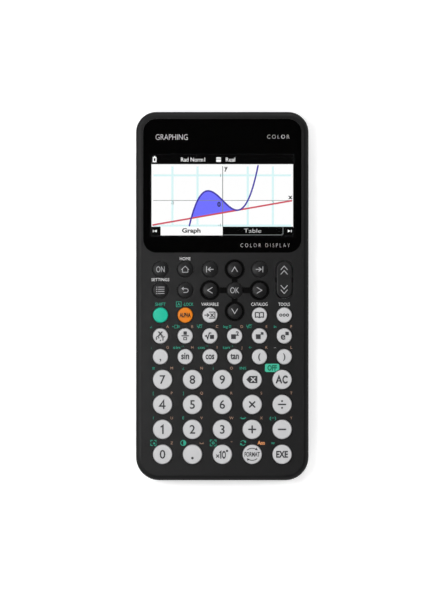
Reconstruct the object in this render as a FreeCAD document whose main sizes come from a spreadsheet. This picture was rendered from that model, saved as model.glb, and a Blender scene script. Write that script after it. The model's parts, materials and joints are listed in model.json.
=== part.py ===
import FreeCAD, Part
import math
import os
import re
import Sketcher

# A graphing calculator lying on its back: X across the body, Y along it with the display at
# the +Y end, Z up through the keys. The origin is on the surface it rests on, under the
# middle of the body. All sizes are in millimetres.

DOCUMENT = FreeCAD.newDocument("graphing_calculator")
ORIGIN = FreeCAD.Vector(0, 0, 0)
UP = FreeCAD.Vector(0, 0, 1)

SIZES = [
    # outer shell
    ("body_length", 190.0, "overall length"),
    ("body_width", 89.0, "overall width"),
    ("corner_top", 10.5, "outline corner radius at the display end"),
    ("corner_bottom", 12.0, "outline corner radius at the key end"),
    ("foot_drop", 0.6, "feet stand this far below the back"),
    ("parting_height", 8.0, "where the front and rear covers meet"),
    ("face_height", 17.0, "front face above the table"),
    ("wall", 1.8, "side wall thickness"),
    ("face_plate", 2.0, "front face thickness"),
    ("back_plate", 1.5, "back thickness"),
    ("face_roll", 2.5, "rounded edge round the front face"),
    ("back_roll", 3.0, "rounded edge round the back"),
    ("seam", 0.25, "bevel of both covers along the parting line"),
    ("lip_thick", 0.8, "tongue of the rear cover inside the front cover"),
    ("lip_rise", 1.2, "height of that tongue"),
    ("part_gap", 0.1, "gap between fixed pieces"),
    # display
    ("window_width", 81.4, "display window width"),
    ("window_length", 68.8, "display window length"),
    ("window_middle", 56.9, "display window centre along the body"),
    ("window_corner", 6.8, "display window corner radius"),
    ("window_thick", 1.0, "display window thickness"),
    ("window_bevel", 0.2, "bevel round the display window"),
    ("panel_width", 77.0, "display panel width"),
    ("panel_length", 47.0, "display panel length"),
    ("panel_middle", 51.6, "display panel centre along the body"),
    ("panel_thick", 0.9, "display panel glass thickness"),
    ("frame_border", 1.2, "backlight frame beyond the panel"),
    ("frame_thick", 1.1, "backlight frame thickness"),
    ("flex_width", 30.0, "display flex cable width"),
    ("flex_thick", 0.2, "display flex cable thickness"),
    ("flex_drop", 0.5, "display flex cable below the front face plate"),
    ("flex_land", 0.6, "display flex cable from the board's edge"),
    # keys
    ("small_radius", 3.85, "function key"),
    ("large_radius", 4.9, "number key"),
    ("dark_radius", 4.0, "menu key"),
    ("arrow_radius", 3.8, "arrow key"),
    ("light_top", 18.5, "top of the light keys"),
    ("dark_top", 18.2, "top of the dark keys"),
    ("light_crown", 0.25, "dome of the light keys"),
    ("dark_crown", 0.55, "dome of the dark keys"),
    ("light_edge", 0.45, "edge radius of the light keys"),
    ("dark_edge", 0.7, "edge radius of the dark keys"),
    ("key_gap", 0.25, "gap round each key in its hole"),
    ("flange_reach", 0.9, "retaining flange beyond the key"),
    ("flange_thick", 0.8, "retaining flange thickness"),
    ("flange_gap", 0.15, "flange below the front face plate"),
    ("plunger_radius", 1.5, "plunger under each key"),
    ("plunger_low", 12.95, "bottom of the plungers"),
    ("small_pitch_x", 12.76, "columns of the upper keys"),
    ("large_pitch_x", 15.4, "columns of the number keys"),
    ("nav_row", 13.8, "first row of menu keys"),
    ("nav_pitch", 10.8, "rows of menu keys"),
    ("small_row", -9.8, "first row of function keys"),
    ("small_pitch_y", 10.72, "rows of function keys"),
    ("large_row", -43.0, "first row of number keys"),
    ("large_pitch_y", 12.85, "rows of number keys"),
    ("rocker_length", 19.2, "page rocker length"),
    ("rocker_radius", 4.05, "page rocker end radius"),
    ("rocker_gap", 0.35, "gap round the page rocker"),
    ("rocker_ear", 1.3, "half length of the ears at the rocker's middle"),
    ("rocker_drop", 0.3, "ears below the front face plate"),
    ("ring_radius", 5.2, "recess round each arrow key"),
    ("ring_depth", 0.8, "depth of the arrow recess"),
    ("bar_width", 3.0, "groove between the arrow keys"),
    # key mat and circuit board
    ("board_low", 9.0, "underside of the circuit board"),
    ("board_thick", 1.6, "circuit board thickness"),
    ("board_half", 36.2, "half width of the circuit board"),
    ("board_bottom", -90.0, "key end of the circuit board"),
    ("board_top", 19.6, "display end of the key field"),
    ("arm_inner", 29.5, "board arm beside the battery bay, inner edge"),
    ("arm_outer", 35.5, "board arm beside the battery bay, outer edge"),
    ("head_low", 76.0, "board head at the connector end, near edge"),
    ("head_high", 92.0, "board head at the connector end, far edge"),
    ("head_right", 12.0, "board head's side towards +X"),
    ("head_step", 2.5, "board head set in from the arm"),
    ("mat_thick", 0.6, "key mat sheet"),
    ("mat_border", 0.8, "key mat inside the board's edge"),
    ("mat_end", 1.8, "key mat inside the board's display end"),
    ("dome_radius", 3.2, "key mat dome at its foot"),
    ("dome_taper", 28.0, "slope of the dome's side from upright, degrees"),
    ("dome_top", 12.83, "top of the domes"),
    ("dome_skin", 0.5, "dome thickness"),
    # battery bay
    ("bay_middle", 47.5, "battery bay centre along the body"),
    ("bay_half_x", 25.5, "half of the bay across the body"),
    ("bay_half_y", 22.6, "half of the bay along the body"),
    ("bay_roof_low", 12.9, "underside of the bay's roof"),
    ("bay_roof_thick", 0.8, "bay roof thickness"),
    ("bay_wall", 3.0, "bay wall thickness"),
    ("cell_radius", 5.25, "battery radius"),
    ("cell_pitch", 11.1, "battery spacing"),
    ("cell_low", 2.3, "lowest line of the batteries"),
    ("cell_length", 43.7, "battery without its button"),
    ("nub_radius", 1.9, "battery button radius"),
    ("nub_length", 0.8, "battery button length"),
    ("contact_thick", 0.4, "battery contact plate"),
    ("plate_half", 4.0, "battery contact plate beyond a cell's axis"),
    ("spring_radius", 2.6, "battery spring, middle of the wire"),
    ("spring_wire", 0.3, "battery spring wire radius"),
    ("spring_turns", 4.0, "battery spring turns"),
    ("hatch_half_x", 26.9, "half width of the battery cover"),
    ("hatch_low", 21.4, "latch end of the battery cover"),
    ("hatch_high", 73.5, "hinge end of the battery cover"),
    ("hatch_gap", 0.3, "gap round the battery cover"),
    ("hatch_corner", 2.5, "corner radius of the battery cover"),
    ("tab_place", 15.0, "hinge tab from the middle line"),
    ("tab_half", 3.5, "half width of a hinge tab"),
    ("tab_reach", 2.2, "hinge tab beyond the cover's end"),
    ("tab_thick", 1.1, "hinge tab thickness"),
    ("tab_room", 5.2, "height of the room for the hinge tabs"),
    ("tab_root", 2.0, "hinge tab from the cover's end back to its root"),
    ("thumb_half", 9.0, "half width of the latch's finger recess"),
    ("thumb_width", 6.0, "finger recess along the body"),
    ("thumb_depth", 0.7, "depth of the finger recess"),
    ("rib_pitch", 1.6, "grip grooves on the battery cover"),
    ("rib_depth", 0.4, "grip groove depth"),
    # fasteners, feet and connector
    ("screw_top_x", 23.1, "screws beside the connector"),
    ("screw_top_y", 84.5, "screws beside the connector"),
    ("screw_middle_x", 38.4, "screws below the display"),
    ("screw_middle_y", 24.5, "screws below the display"),
    ("boss_radius", 2.4, "front cover screw pillar"),
    ("boss_low", 5.0, "foot of the front cover pillars"),
    ("boss_room", 0.3, "board and mat holes beyond the pillars"),
    ("rear_boss_radius", 3.1, "rear cover screw socket"),
    ("sink_radius", 2.3, "recess for each screw head"),
    ("sink_high", 3.3, "seat of the screw heads"),
    ("head_radius", 2.0, "screw head"),
    ("head_thick", 1.5, "screw head thickness"),
    ("head_edge", 0.4, "edge radius of the screw heads"),
    ("shank_radius", 0.95, "screw shank"),
    ("shank_high", 12.0, "tip of the screws"),
    ("screw_room", 0.06, "threaded hole beyond the screw shank"),
    ("drill_room", 0.2, "clearance hole beyond the screw shank"),
    ("thread_spare", 0.5, "threaded hole beyond the screw's tip"),
    ("cross_width", 0.55, "cross slot width"),
    ("cross_reach", 1.25, "cross slot half length"),
    ("cross_depth", 0.9, "cross slot depth"),
    ("foot_x", 34.5, "rubber foot from the middle line"),
    ("foot_y", 83.0, "rubber foot from the middle"),
    ("foot_radius", 4.5, "rubber foot"),
    ("foot_sink", 0.6, "rubber foot's seat in the back"),
    ("foot_edge", 0.25, "edge radius of the rubber feet"),
    ("post_inset", 3.0, "board posts from the board's edges"),
    ("post_radius", 1.5, "board post"),
    ("port_half", 4.47, "connector half width"),
    ("port_tall", 3.26, "connector height"),
    ("port_deep", 7.3, "connector depth"),
    ("port_mouth", 93.6, "connector mouth along the body"),
    ("port_skin", 0.3, "connector shell thickness"),
    ("port_room", 0.4, "opening beyond the connector"),
    ("port_back", 1.2, "connector back wall"),
    ("tongue_back", 0.8, "connector tongue behind the mouth"),
    ("tongue_side", 1.2, "connector tongue from the side"),
    ("tongue_half", 0.35, "half of the connector tongue's thickness"),
    ("notch_half", 9.0, "half width of the recess at the connector"),
    ("notch_depth", 0.5, "depth of the recess at the connector"),
    ("notch_rise", 1.2, "recess above the parting line"),
    ("reset_radius", 1.0, "reset hole"),
]

# soldered parts: place across and along the body, then width, length and height
CHIPS = [
    ("processor", 0.0, -14.0, 16.0, 16.0, 1.4),
    ("memory_chip", 19.0, -18.0, 10.0, 12.0, 1.2),
    ("power_chip", -23.0, -1.0, 6.0, 6.0, 1.0),
    ("crystal", 0.0, -30.0, 8.0, 4.0, 1.8),
    ("power_coil", -23.0, 12.0, 8.0, 8.0, 3.0),
    ("capacitor_left", -14.0, 12.0, 4.0, 4.0, 2.4),
    ("capacitor_right", 14.0, -40.0, 4.0, 4.0, 2.4),
    ("reset_switch", 12.0, 8.0, 6.0, 6.0, 2.0),
]
for chip_name, *chip_sizes in CHIPS:
    for word, size in zip(("across", "along", "wide", "long", "tall"), chip_sizes):
        SIZES.append((chip_name + "_" + word, size, chip_name.replace("_", " ") + " " + word))

GRIP_GROOVES = 4
WIRE_SIDES = 8

SHEET = DOCUMENT.addObject("Spreadsheet::Sheet", "Sizes")
for line, (alias, amount, note) in enumerate(SIZES, start=1):
    SHEET.set("A%d" % line, note)
    SHEET.set("B%d" % line, str(amount))
    SHEET.setAlias("B%d" % line, alias)
DOCUMENT.recompute()
ALIASES = {alias for alias, amount, note in SIZES}


def full(expression):
    """An expression in the sheet's words, with the sheet's name before each of them."""
    def in_sheet(word):
        return "Sizes." + word[0] if word[0] in ALIASES else word[0]

    return re.sub(r"[a-z_]+", in_sheet, expression)


def amount_of(expression):
    """The number that an expression in the sheet's words stands for."""
    return float(SHEET.evalExpression(full(expression)))


# ---------------------------------------------------------------- sketches

def new_body(name):
    body = DOCUMENT.addObject("PartDesign::Body", name)
    body.Label = name
    return body


def new_sketch(body, name, plane_role="XY_Plane", offset="0"):
    """A sketch on one of its body's own planes, moved along the plane's normal."""
    sketch = body.newObject("Sketcher::SketchObject", name)
    plane = next(feature for feature in body.Origin.OriginFeatures if feature.Role == plane_role)
    sketch.AttachmentSupport = (plane, [""])
    sketch.MapMode = "FlatFace"
    sketch.setExpression("AttachmentOffset.Base.z", full(offset))
    return sketch


def hold(sketch, kind, places, expression):
    """A driving size in a sketch, bound to the sheet."""
    index = sketch.addConstraint(Sketcher.Constraint(kind, *places, amount_of(expression)))
    sketch.setExpression("Constraints[%d]" % index, full(expression))


def pin(sketch, geometry, point, across, along):
    """Fix one point of a sketch by its two distances from the sketch's origin."""
    hold(sketch, "DistanceX", (-1, 1, geometry, point), across)
    hold(sketch, "DistanceY", (-1, 1, geometry, point), along)


def add_circle(sketch, across, along, radius):
    centre = FreeCAD.Vector(amount_of(across), amount_of(along), 0)
    index = sketch.addGeometry(Part.Circle(centre, UP, amount_of(radius)), False)
    pin(sketch, index, 3, across, along)
    hold(sketch, "Radius", (index,), radius)


def add_polygon(sketch, corners):
    """Straight lines through the corners and back to the first one."""
    points = [FreeCAD.Vector(amount_of(across), amount_of(along), 0) for across, along in corners]
    lines = [Part.LineSegment(here, there) for here, there in zip(points, points[1:] + points[:1])]
    indices = list(sketch.addGeometry(lines, False))
    for place, index in enumerate(indices):
        following = indices[(place + 1) % len(indices)]
        sketch.addConstraint(Sketcher.Constraint("Coincident", index, 2, following, 1))
        pin(sketch, index, 1, *corners[place])


def add_rectangle(sketch, left, right, low, high):
    add_polygon(sketch, [(left, low), (right, low), (right, high), (left, high)])


def add_rounded(sketch, half_width, low, high, corner_low, corner_high):
    """A rectangle about the middle line, with one corner radius at each end."""
    half, bottom, top = amount_of(half_width), amount_of(low), amount_of(high)
    radius_low, radius_high = amount_of(corner_low), amount_of(corner_high)
    # corner centres and the angle at which each corner's arc starts, anticlockwise
    corners = [
        (half - radius_low, bottom + radius_low, radius_low, corner_low, -0.5),
        (half - radius_high, top - radius_high, radius_high, corner_high, 0.0),
        (-half + radius_high, top - radius_high, radius_high, corner_high, 0.5),
        (-half + radius_low, bottom + radius_low, radius_low, corner_low, 1.0),
    ]
    arcs = []
    for across, along, radius, size, turn in corners:
        circle = Part.Circle(FreeCAD.Vector(across, along, 0), UP, radius)
        start = turn * math.pi
        arc = sketch.addGeometry(Part.ArcOfCircle(circle, start, start + math.pi / 2), False)
        hold(sketch, "Radius", (arc,), size)
        arcs.append(arc)
    sides = []
    for place, arc in enumerate(arcs):
        following = arcs[(place + 1) % len(arcs)]
        start, end = sketch.getPoint(arc, 2), sketch.getPoint(following, 1)
        side = sketch.addGeometry(Part.LineSegment(start, end), False)
        sketch.addConstraint(Sketcher.Constraint("Tangent", arc, 2, side, 1))
        sketch.addConstraint(Sketcher.Constraint("Tangent", side, 2, following, 1))
        sides.append(side)
    right, upper, left, lower = sides
    for side in (right, left):
        sketch.addConstraint(Sketcher.Constraint("Vertical", side))
    for side in (upper, lower):
        sketch.addConstraint(Sketcher.Constraint("Horizontal", side))
    hold(sketch, "DistanceX", (-1, 1, right, 1), half_width)
    hold(sketch, "DistanceX", (-1, 1, left, 1), "-(%s)" % half_width)
    hold(sketch, "DistanceY", (-1, 1, upper, 1), high)
    hold(sketch, "DistanceY", (-1, 1, lower, 1), low)


def add_line(sketch, start, end):
    """A straight stretch between two rough places, which constraints then move."""
    return sketch.addGeometry(Part.LineSegment(FreeCAD.Vector(*start, 0), FreeCAD.Vector(*end, 0)), False)


def add_pill(sketch, across, low, high, radius):
    """A slot along the sketch's second direction, between two end centres."""
    middle, bottom, top = amount_of(across), amount_of(low), amount_of(high)
    reach = amount_of(radius)
    upper_circle = Part.Circle(FreeCAD.Vector(middle, top, 0), UP, reach)
    lower_circle = Part.Circle(FreeCAD.Vector(middle, bottom, 0), UP, reach)
    upper = sketch.addGeometry(Part.ArcOfCircle(upper_circle, 0, math.pi), False)
    lower = sketch.addGeometry(Part.ArcOfCircle(lower_circle, math.pi, 2 * math.pi), False)
    left = add_line(sketch, (middle - reach, top), (middle - reach, bottom))
    right = add_line(sketch, (middle + reach, bottom), (middle + reach, top))
    loop = [upper, left, lower, right]
    for place, index in enumerate(loop):
        sketch.addConstraint(Sketcher.Constraint("Tangent", index, 2, loop[(place + 1) % 4], 1))
    pin(sketch, upper, 3, across, high)
    pin(sketch, lower, 3, across, low)
    hold(sketch, "Radius", (upper,), radius)


# ---------------------------------------------------------------- features

def set_length(feature, expression):
    feature.setExpression("Length", full(expression))


def pad(body, sketch, length, downwards=False, taper=None):
    feature = body.newObject("PartDesign::Pad", sketch.Name + "_pad")
    feature.Profile = sketch
    feature.Reversed = downwards
    set_length(feature, length)
    if taper is not None:
        feature.setExpression("TaperAngle", full(taper))
    DOCUMENT.recompute()
    return feature


def pocket(body, sketch, length, upwards=True, taper=None):
    """Cut a sketch away, along its plane's normal unless told otherwise."""
    before = body.Shape.Volume
    feature = body.newObject("PartDesign::Pocket", sketch.Name + "_pocket")
    feature.Profile = sketch
    feature.Reversed = upwards
    set_length(feature, length)
    if taper is not None:
        feature.setExpression("TaperAngle", full(taper))
    DOCUMENT.recompute()
    if not body.Shape.Volume < before:
        raise RuntimeError("%s cuts nothing" % feature.Name)
    return feature


def revolve(body, sketch):
    feature = body.newObject("PartDesign::Revolution", sketch.Name + "_revolution")
    feature.Profile = sketch
    feature.ReferenceAxis = (sketch, ["V_Axis"])
    feature.Angle = 360
    DOCUMENT.recompute()
    return feature


def round_edges(body, feature, chosen, radius, kind="PartDesign::Fillet"):
    """Round or bevel the edges of a feature that pass a test."""
    names = ["Edge%d" % (place + 1) for place, edge in enumerate(feature.Shape.Edges) if chosen(edge)]
    if not names:
        raise RuntimeError("%s has no such edge" % feature.Name)
    rounding = body.newObject(kind, feature.Name + ("_fillet" if kind.endswith("Fillet") else "_chamfer"))
    rounding.Base = (feature, names)
    rounding.setExpression("Radius" if kind.endswith("Fillet") else "Size", full(radius))
    DOCUMENT.recompute()
    return rounding


def at_height(level):
    """A test for edges that lie flat at one height."""
    height = amount_of(level)
    return lambda edge: abs(edge.BoundBox.ZMin - height) < 1e-4 and abs(edge.BoundBox.ZMax - height) < 1e-4


# ---------------------------------------------------------------- layout

def column(count, pitch):
    return "%s * %s" % (count, pitch)


def row(first, count, pitch):
    return "%s - %s * %s" % (first, count, pitch)


KINDS = {
    # kind: radius, top, dome and edge radius
    "small": ("small_radius", "light_top", "light_crown", "light_edge"),
    "large": ("large_radius", "light_top", "light_crown", "light_edge"),
    "menu": ("dark_radius", "dark_top", "dark_crown", "dark_edge"),
    "arrow": ("arrow_radius", "dark_top", "dark_crown", "dark_edge"),
}

NAV_ROWS = [
    [("key_on", -2.5, "menu"), ("key_home", -1.5, "menu"), ("key_line_start", -0.5, "menu"),
     ("key_up", 0.5, "arrow"), ("key_line_end", 1.5, "menu")],
    [("key_settings", -2.5, "menu"), ("key_back", -1.5, "menu"), ("key_left", -0.5, "arrow"),
     ("key_ok", 0.5, "menu"), ("key_right", 1.5, "arrow")],
    [("key_down", 0.5, "arrow")],
]
SMALL_ROWS = [
    [("key_shift", -2.5), ("key_alpha", -1.5), ("key_variable", -0.5),
     ("key_catalog", 1.5), ("key_tools", 2.5)],
    [("key_x_variable", -2.5), ("key_fraction", -1.5), ("key_square_root", -0.5),
     ("key_square", 0.5), ("key_power", 1.5), ("key_exponential", 2.5)],
    [("key_comma", -2.5), ("key_sin", -1.5), ("key_cos", -0.5),
     ("key_tan", 0.5), ("key_left_bracket", 1.5), ("key_right_bracket", 2.5)],
]
LARGE_ROWS = [
    ["key_7", "key_8", "key_9", "key_delete", "key_all_clear"],
    ["key_4", "key_5", "key_6", "key_multiply", "key_divide"],
    ["key_1", "key_2", "key_3", "key_plus", "key_minus"],
    ["key_0", "key_decimal_point", "key_exponent", "key_format", "key_execute"],
]

MIDDLE_COLUMN = 2
KEYS = []
for count, names in enumerate(NAV_ROWS):
    for name, place, kind in names:
        KEYS.append((name, kind, column(place, "small_pitch_x"), row("nav_row", count, "nav_pitch")))
for count, names in enumerate(SMALL_ROWS):
    along = row("small_row", count, "small_pitch_y")
    for name, place in names:
        KEYS.append((name, "small", column(place, "small_pitch_x"), along))
for count, names in enumerate(LARGE_ROWS):
    along = row("large_row", count, "large_pitch_y")
    for place, name in enumerate(names):
        KEYS.append((name, "large", column(place - MIDDLE_COLUMN, "large_pitch_x"), along))

ROCKER_X = column(2.5, "small_pitch_x")
ROCKER_Y = "(nav_row - nav_pitch / 2)"
ARROWS = [key for key in KEYS if key[1] == "arrow"]
OK_X, OK_Y = next((across, along) for name, kind, across, along in KEYS if name == "key_ok")

# screws: two beside the connector, two below the display, two between the number keys
SCREW_BOTTOM_X = "1.5 * large_pitch_x"
SCREW_BOTTOM_Y = "(large_row - 2.5 * large_pitch_y)"
SCREWS = []
for sign in ("-", ""):
    SCREWS.append((sign + "screw_top_x", "screw_top_y"))
    SCREWS.append((sign + "screw_middle_x", "screw_middle_y"))
    SCREWS.append((sign + SCREW_BOTTOM_X, SCREW_BOTTOM_Y))
THROUGH_MAT = [(across, along) for across, along in SCREWS if along == SCREW_BOTTOM_Y]
THROUGH_BOARD = THROUGH_MAT + [("-screw_top_x", "screw_top_y")]

PLATE_UNDER = "(face_height - face_plate)"
BOARD_UPPER = "(board_low + board_thick)"
MAT_UPPER = "(board_low + board_thick + mat_thick)"
CELL_AXIS = "(cell_low + cell_radius)"
DOME_SPOTS = [(across, along) for name, kind, across, along in KEYS]
DOME_SPOTS += [(ROCKER_X, "(%s + %s nav_pitch / 2)" % (ROCKER_Y, sign)) for sign in ("", "-")]


# ---------------------------------------------------------------- keys

def make_key(name, kind, across, along):
    """A turned key: plunger, retaining flange and domed cap."""
    radius, top, crown, edge = KINDS[kind]
    body = new_body(name)
    sketch = new_sketch(body, name + "_profile", "XZ_Plane")
    flange_upper = "(%s - flange_gap)" % PLATE_UNDER
    flange_lower = "(%s - flange_thick)" % flange_upper
    shoulder = "(%s - %s)" % (top, crown)
    corners = [
        ("0", top), ("0", "plunger_low"), ("plunger_radius", "plunger_low"),
        ("plunger_radius", flange_lower), ("%s + flange_reach" % radius, flange_lower),
        ("%s + flange_reach" % radius, flange_upper), (radius, flange_upper), (radius, shoulder),
    ]
    points = [FreeCAD.Vector(amount_of(outwards), amount_of(height), 0) for outwards, height in corners]
    lines = [Part.LineSegment(here, there) for here, there in zip(points, points[1:])]
    indices = list(sketch.addGeometry(lines, False))
    for place, index in enumerate(indices):
        pin(sketch, index, 1, *corners[place])
        if place:
            sketch.addConstraint(Sketcher.Constraint("Coincident", indices[place - 1], 2, index, 1))
    pin(sketch, indices[-1], 2, *corners[-1])
    dome = "((%s ^ 2 + %s ^ 2) / (2 * %s))" % (radius, crown, crown)
    sphere = amount_of(dome)
    centre = FreeCAD.Vector(0, amount_of(top) - sphere, 0)
    spread = math.asin(amount_of(radius) / sphere)
    circle = Part.Circle(centre, UP, sphere)
    arc = sketch.addGeometry(Part.ArcOfCircle(circle, math.pi / 2 - spread, math.pi / 2), False)
    sketch.addConstraint(Sketcher.Constraint("Coincident", arc, 1, indices[-1], 2))
    sketch.addConstraint(Sketcher.Constraint("Coincident", arc, 2, indices[0], 1))
    hold(sketch, "Radius", (arc,), dome)
    turned = revolve(body, sketch)
    round_edges(body, turned, at_height(shoulder), edge)
    body.setExpression("Placement.Base.x", full(across))
    body.setExpression("Placement.Base.y", full(along))
    return body


def make_rocker():
    """The page rocker: a long cap on two plungers, held by an ear on each side of its middle."""
    body = new_body("key_page_rocker")
    half = "(rocker_length / 2 - rocker_radius)"
    cap_low = "(%s - rocker_drop - flange_thick)" % PLATE_UNDER
    cap = new_sketch(body, "rocker_cap", "XY_Plane", cap_low)
    add_pill(cap, "0", "-" + half, half, "rocker_radius")
    raised = pad(body, cap, "dark_top - %s" % cap_low)
    round_edges(body, raised, at_height("dark_top"), "dark_edge")
    ears = new_sketch(body, "rocker_ears", "XY_Plane", cap_low)
    ear = "(rocker_radius + flange_reach)"
    add_rectangle(ears, "-" + ear, ear, "-rocker_ear", "rocker_ear")
    pad(body, ears, "flange_thick")
    plungers = new_sketch(body, "rocker_plungers", "XY_Plane", cap_low)
    for sign in ("", "-"):
        add_circle(plungers, "0", sign + "nav_pitch / 2", "plunger_radius")
    pad(body, plungers, "%s - plunger_low" % cap_low, downwards=True)
    body.setExpression("Placement.Base.x", full(ROCKER_X))
    body.setExpression("Placement.Base.y", full(ROCKER_Y))
    return body


# ---------------------------------------------------------------- covers

def add_outline(sketch, inset):
    """The body's outline, moved inwards."""
    half_length = "(body_length / 2 - %s)" % inset
    add_rounded(sketch, "body_width / 2 - %s" % inset, "-" + half_length, half_length,
                "corner_bottom - %s" % inset, "corner_top - %s" % inset)


def make_front_cover():
    body = new_body("front_cover")
    outer = new_sketch(body, "front_outline", "XY_Plane", "parting_height")
    add_outline(outer, "0")
    block = pad(body, outer, "face_height - parting_height")
    rolled = round_edges(body, block, at_height("face_height"), "face_roll")
    round_edges(body, rolled, at_height("parting_height"), "seam", "PartDesign::Chamfer")
    inner = new_sketch(body, "front_inside", "XY_Plane", "parting_height")
    add_outline(inner, "wall")
    pocket(body, inner, "%s - parting_height" % PLATE_UNDER)

    pillars = new_sketch(body, "front_pillars", "XY_Plane", "boss_low")
    for across, along in SCREWS:
        add_circle(pillars, across, along, "boss_radius")
    pad(body, pillars, "%s - boss_low" % PLATE_UNDER)
    threads = new_sketch(body, "front_threads", "XY_Plane", "boss_low")
    for across, along in SCREWS:
        add_circle(threads, across, along, "shank_radius + screw_room")
    pocket(body, threads, "shank_high - boss_low + thread_spare")

    seat = new_sketch(body, "window_seat", "XY_Plane", "face_height - window_thick")
    half = "(window_length / 2 + part_gap)"
    add_rounded(seat, "window_width / 2 + part_gap",
                "window_middle - %s" % half, "window_middle + %s" % half,
                "window_corner + part_gap", "window_corner + part_gap")
    pocket(body, seat, "window_thick")
    opening = new_sketch(body, "panel_opening", "XY_Plane", PLATE_UNDER)
    half = "(panel_length / 2 + part_gap)"
    add_rectangle(opening, "-panel_width / 2 - part_gap", "panel_width / 2 + part_gap",
                  "panel_middle - %s" % half, "panel_middle + %s" % half)
    pocket(body, opening, "face_plate")

    rings = new_sketch(body, "arrow_recess", "XY_Plane", "face_height - ring_depth")
    for name, kind, across, along in ARROWS:
        add_circle(rings, across, along, "ring_radius")
    pocket(body, rings, "ring_depth")
    for name, reach_x, reach_y in (("groove_across", "small_pitch_x", "bar_width / 2"),
                                   ("groove_along", "bar_width / 2", "nav_pitch")):
        groove = new_sketch(body, name, "XY_Plane", "face_height - ring_depth")
        add_rectangle(groove, "%s - %s" % (OK_X, reach_x), "%s + %s" % (OK_X, reach_x),
                      "%s - %s" % (OK_Y, reach_y), "%s + %s" % (OK_Y, reach_y))
        pocket(body, groove, "ring_depth")

    holes = new_sketch(body, "key_holes", "XY_Plane", PLATE_UNDER)
    for name, kind, across, along in KEYS:
        add_circle(holes, across, along, KINDS[kind][0] + " + key_gap")
    half = "(rocker_length / 2 - rocker_radius)"
    add_pill(holes, ROCKER_X, "%s - %s" % (ROCKER_Y, half), "%s + %s" % (ROCKER_Y, half),
             "rocker_radius + rocker_gap")
    pocket(body, holes, "face_plate")

    port_middle = "(%s + port_tall / 2)" % BOARD_UPPER
    notch = new_sketch(body, "port_recess", "XZ_Plane", "-body_length / 2")
    add_rectangle(notch, "-notch_half", "notch_half",
                  "parting_height + notch_rise", "face_height - face_roll")
    pocket(body, notch, "notch_depth")
    mouth = new_sketch(body, "port_opening", "XZ_Plane", "-body_length / 2")
    reach = "(port_tall / 2 + port_room)"
    add_wide_slot(mouth, port_middle, "port_half + port_room - %s" % reach, reach)
    pocket(body, mouth, "wall + notch_depth")
    return body


def add_wide_slot(sketch, height, half_run, radius):
    """A slot lying across the sketch, centred on the middle line."""
    level, run, reach = amount_of(height), amount_of(half_run), amount_of(radius)
    right_circle = Part.Circle(FreeCAD.Vector(run, level, 0), UP, reach)
    left_circle = Part.Circle(FreeCAD.Vector(-run, level, 0), UP, reach)
    right = sketch.addGeometry(Part.ArcOfCircle(right_circle, -math.pi / 2, math.pi / 2), False)
    left = sketch.addGeometry(Part.ArcOfCircle(left_circle, math.pi / 2, 1.5 * math.pi), False)
    upper = add_line(sketch, (run, level + reach), (-run, level + reach))
    lower = add_line(sketch, (-run, level - reach), (run, level - reach))
    loop = [right, upper, left, lower]
    for place, index in enumerate(loop):
        sketch.addConstraint(Sketcher.Constraint("Tangent", index, 2, loop[(place + 1) % 4], 1))
    pin(sketch, right, 3, half_run, height)
    pin(sketch, left, 3, "-(%s)" % half_run, height)
    hold(sketch, "Radius", (right,), radius)


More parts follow.
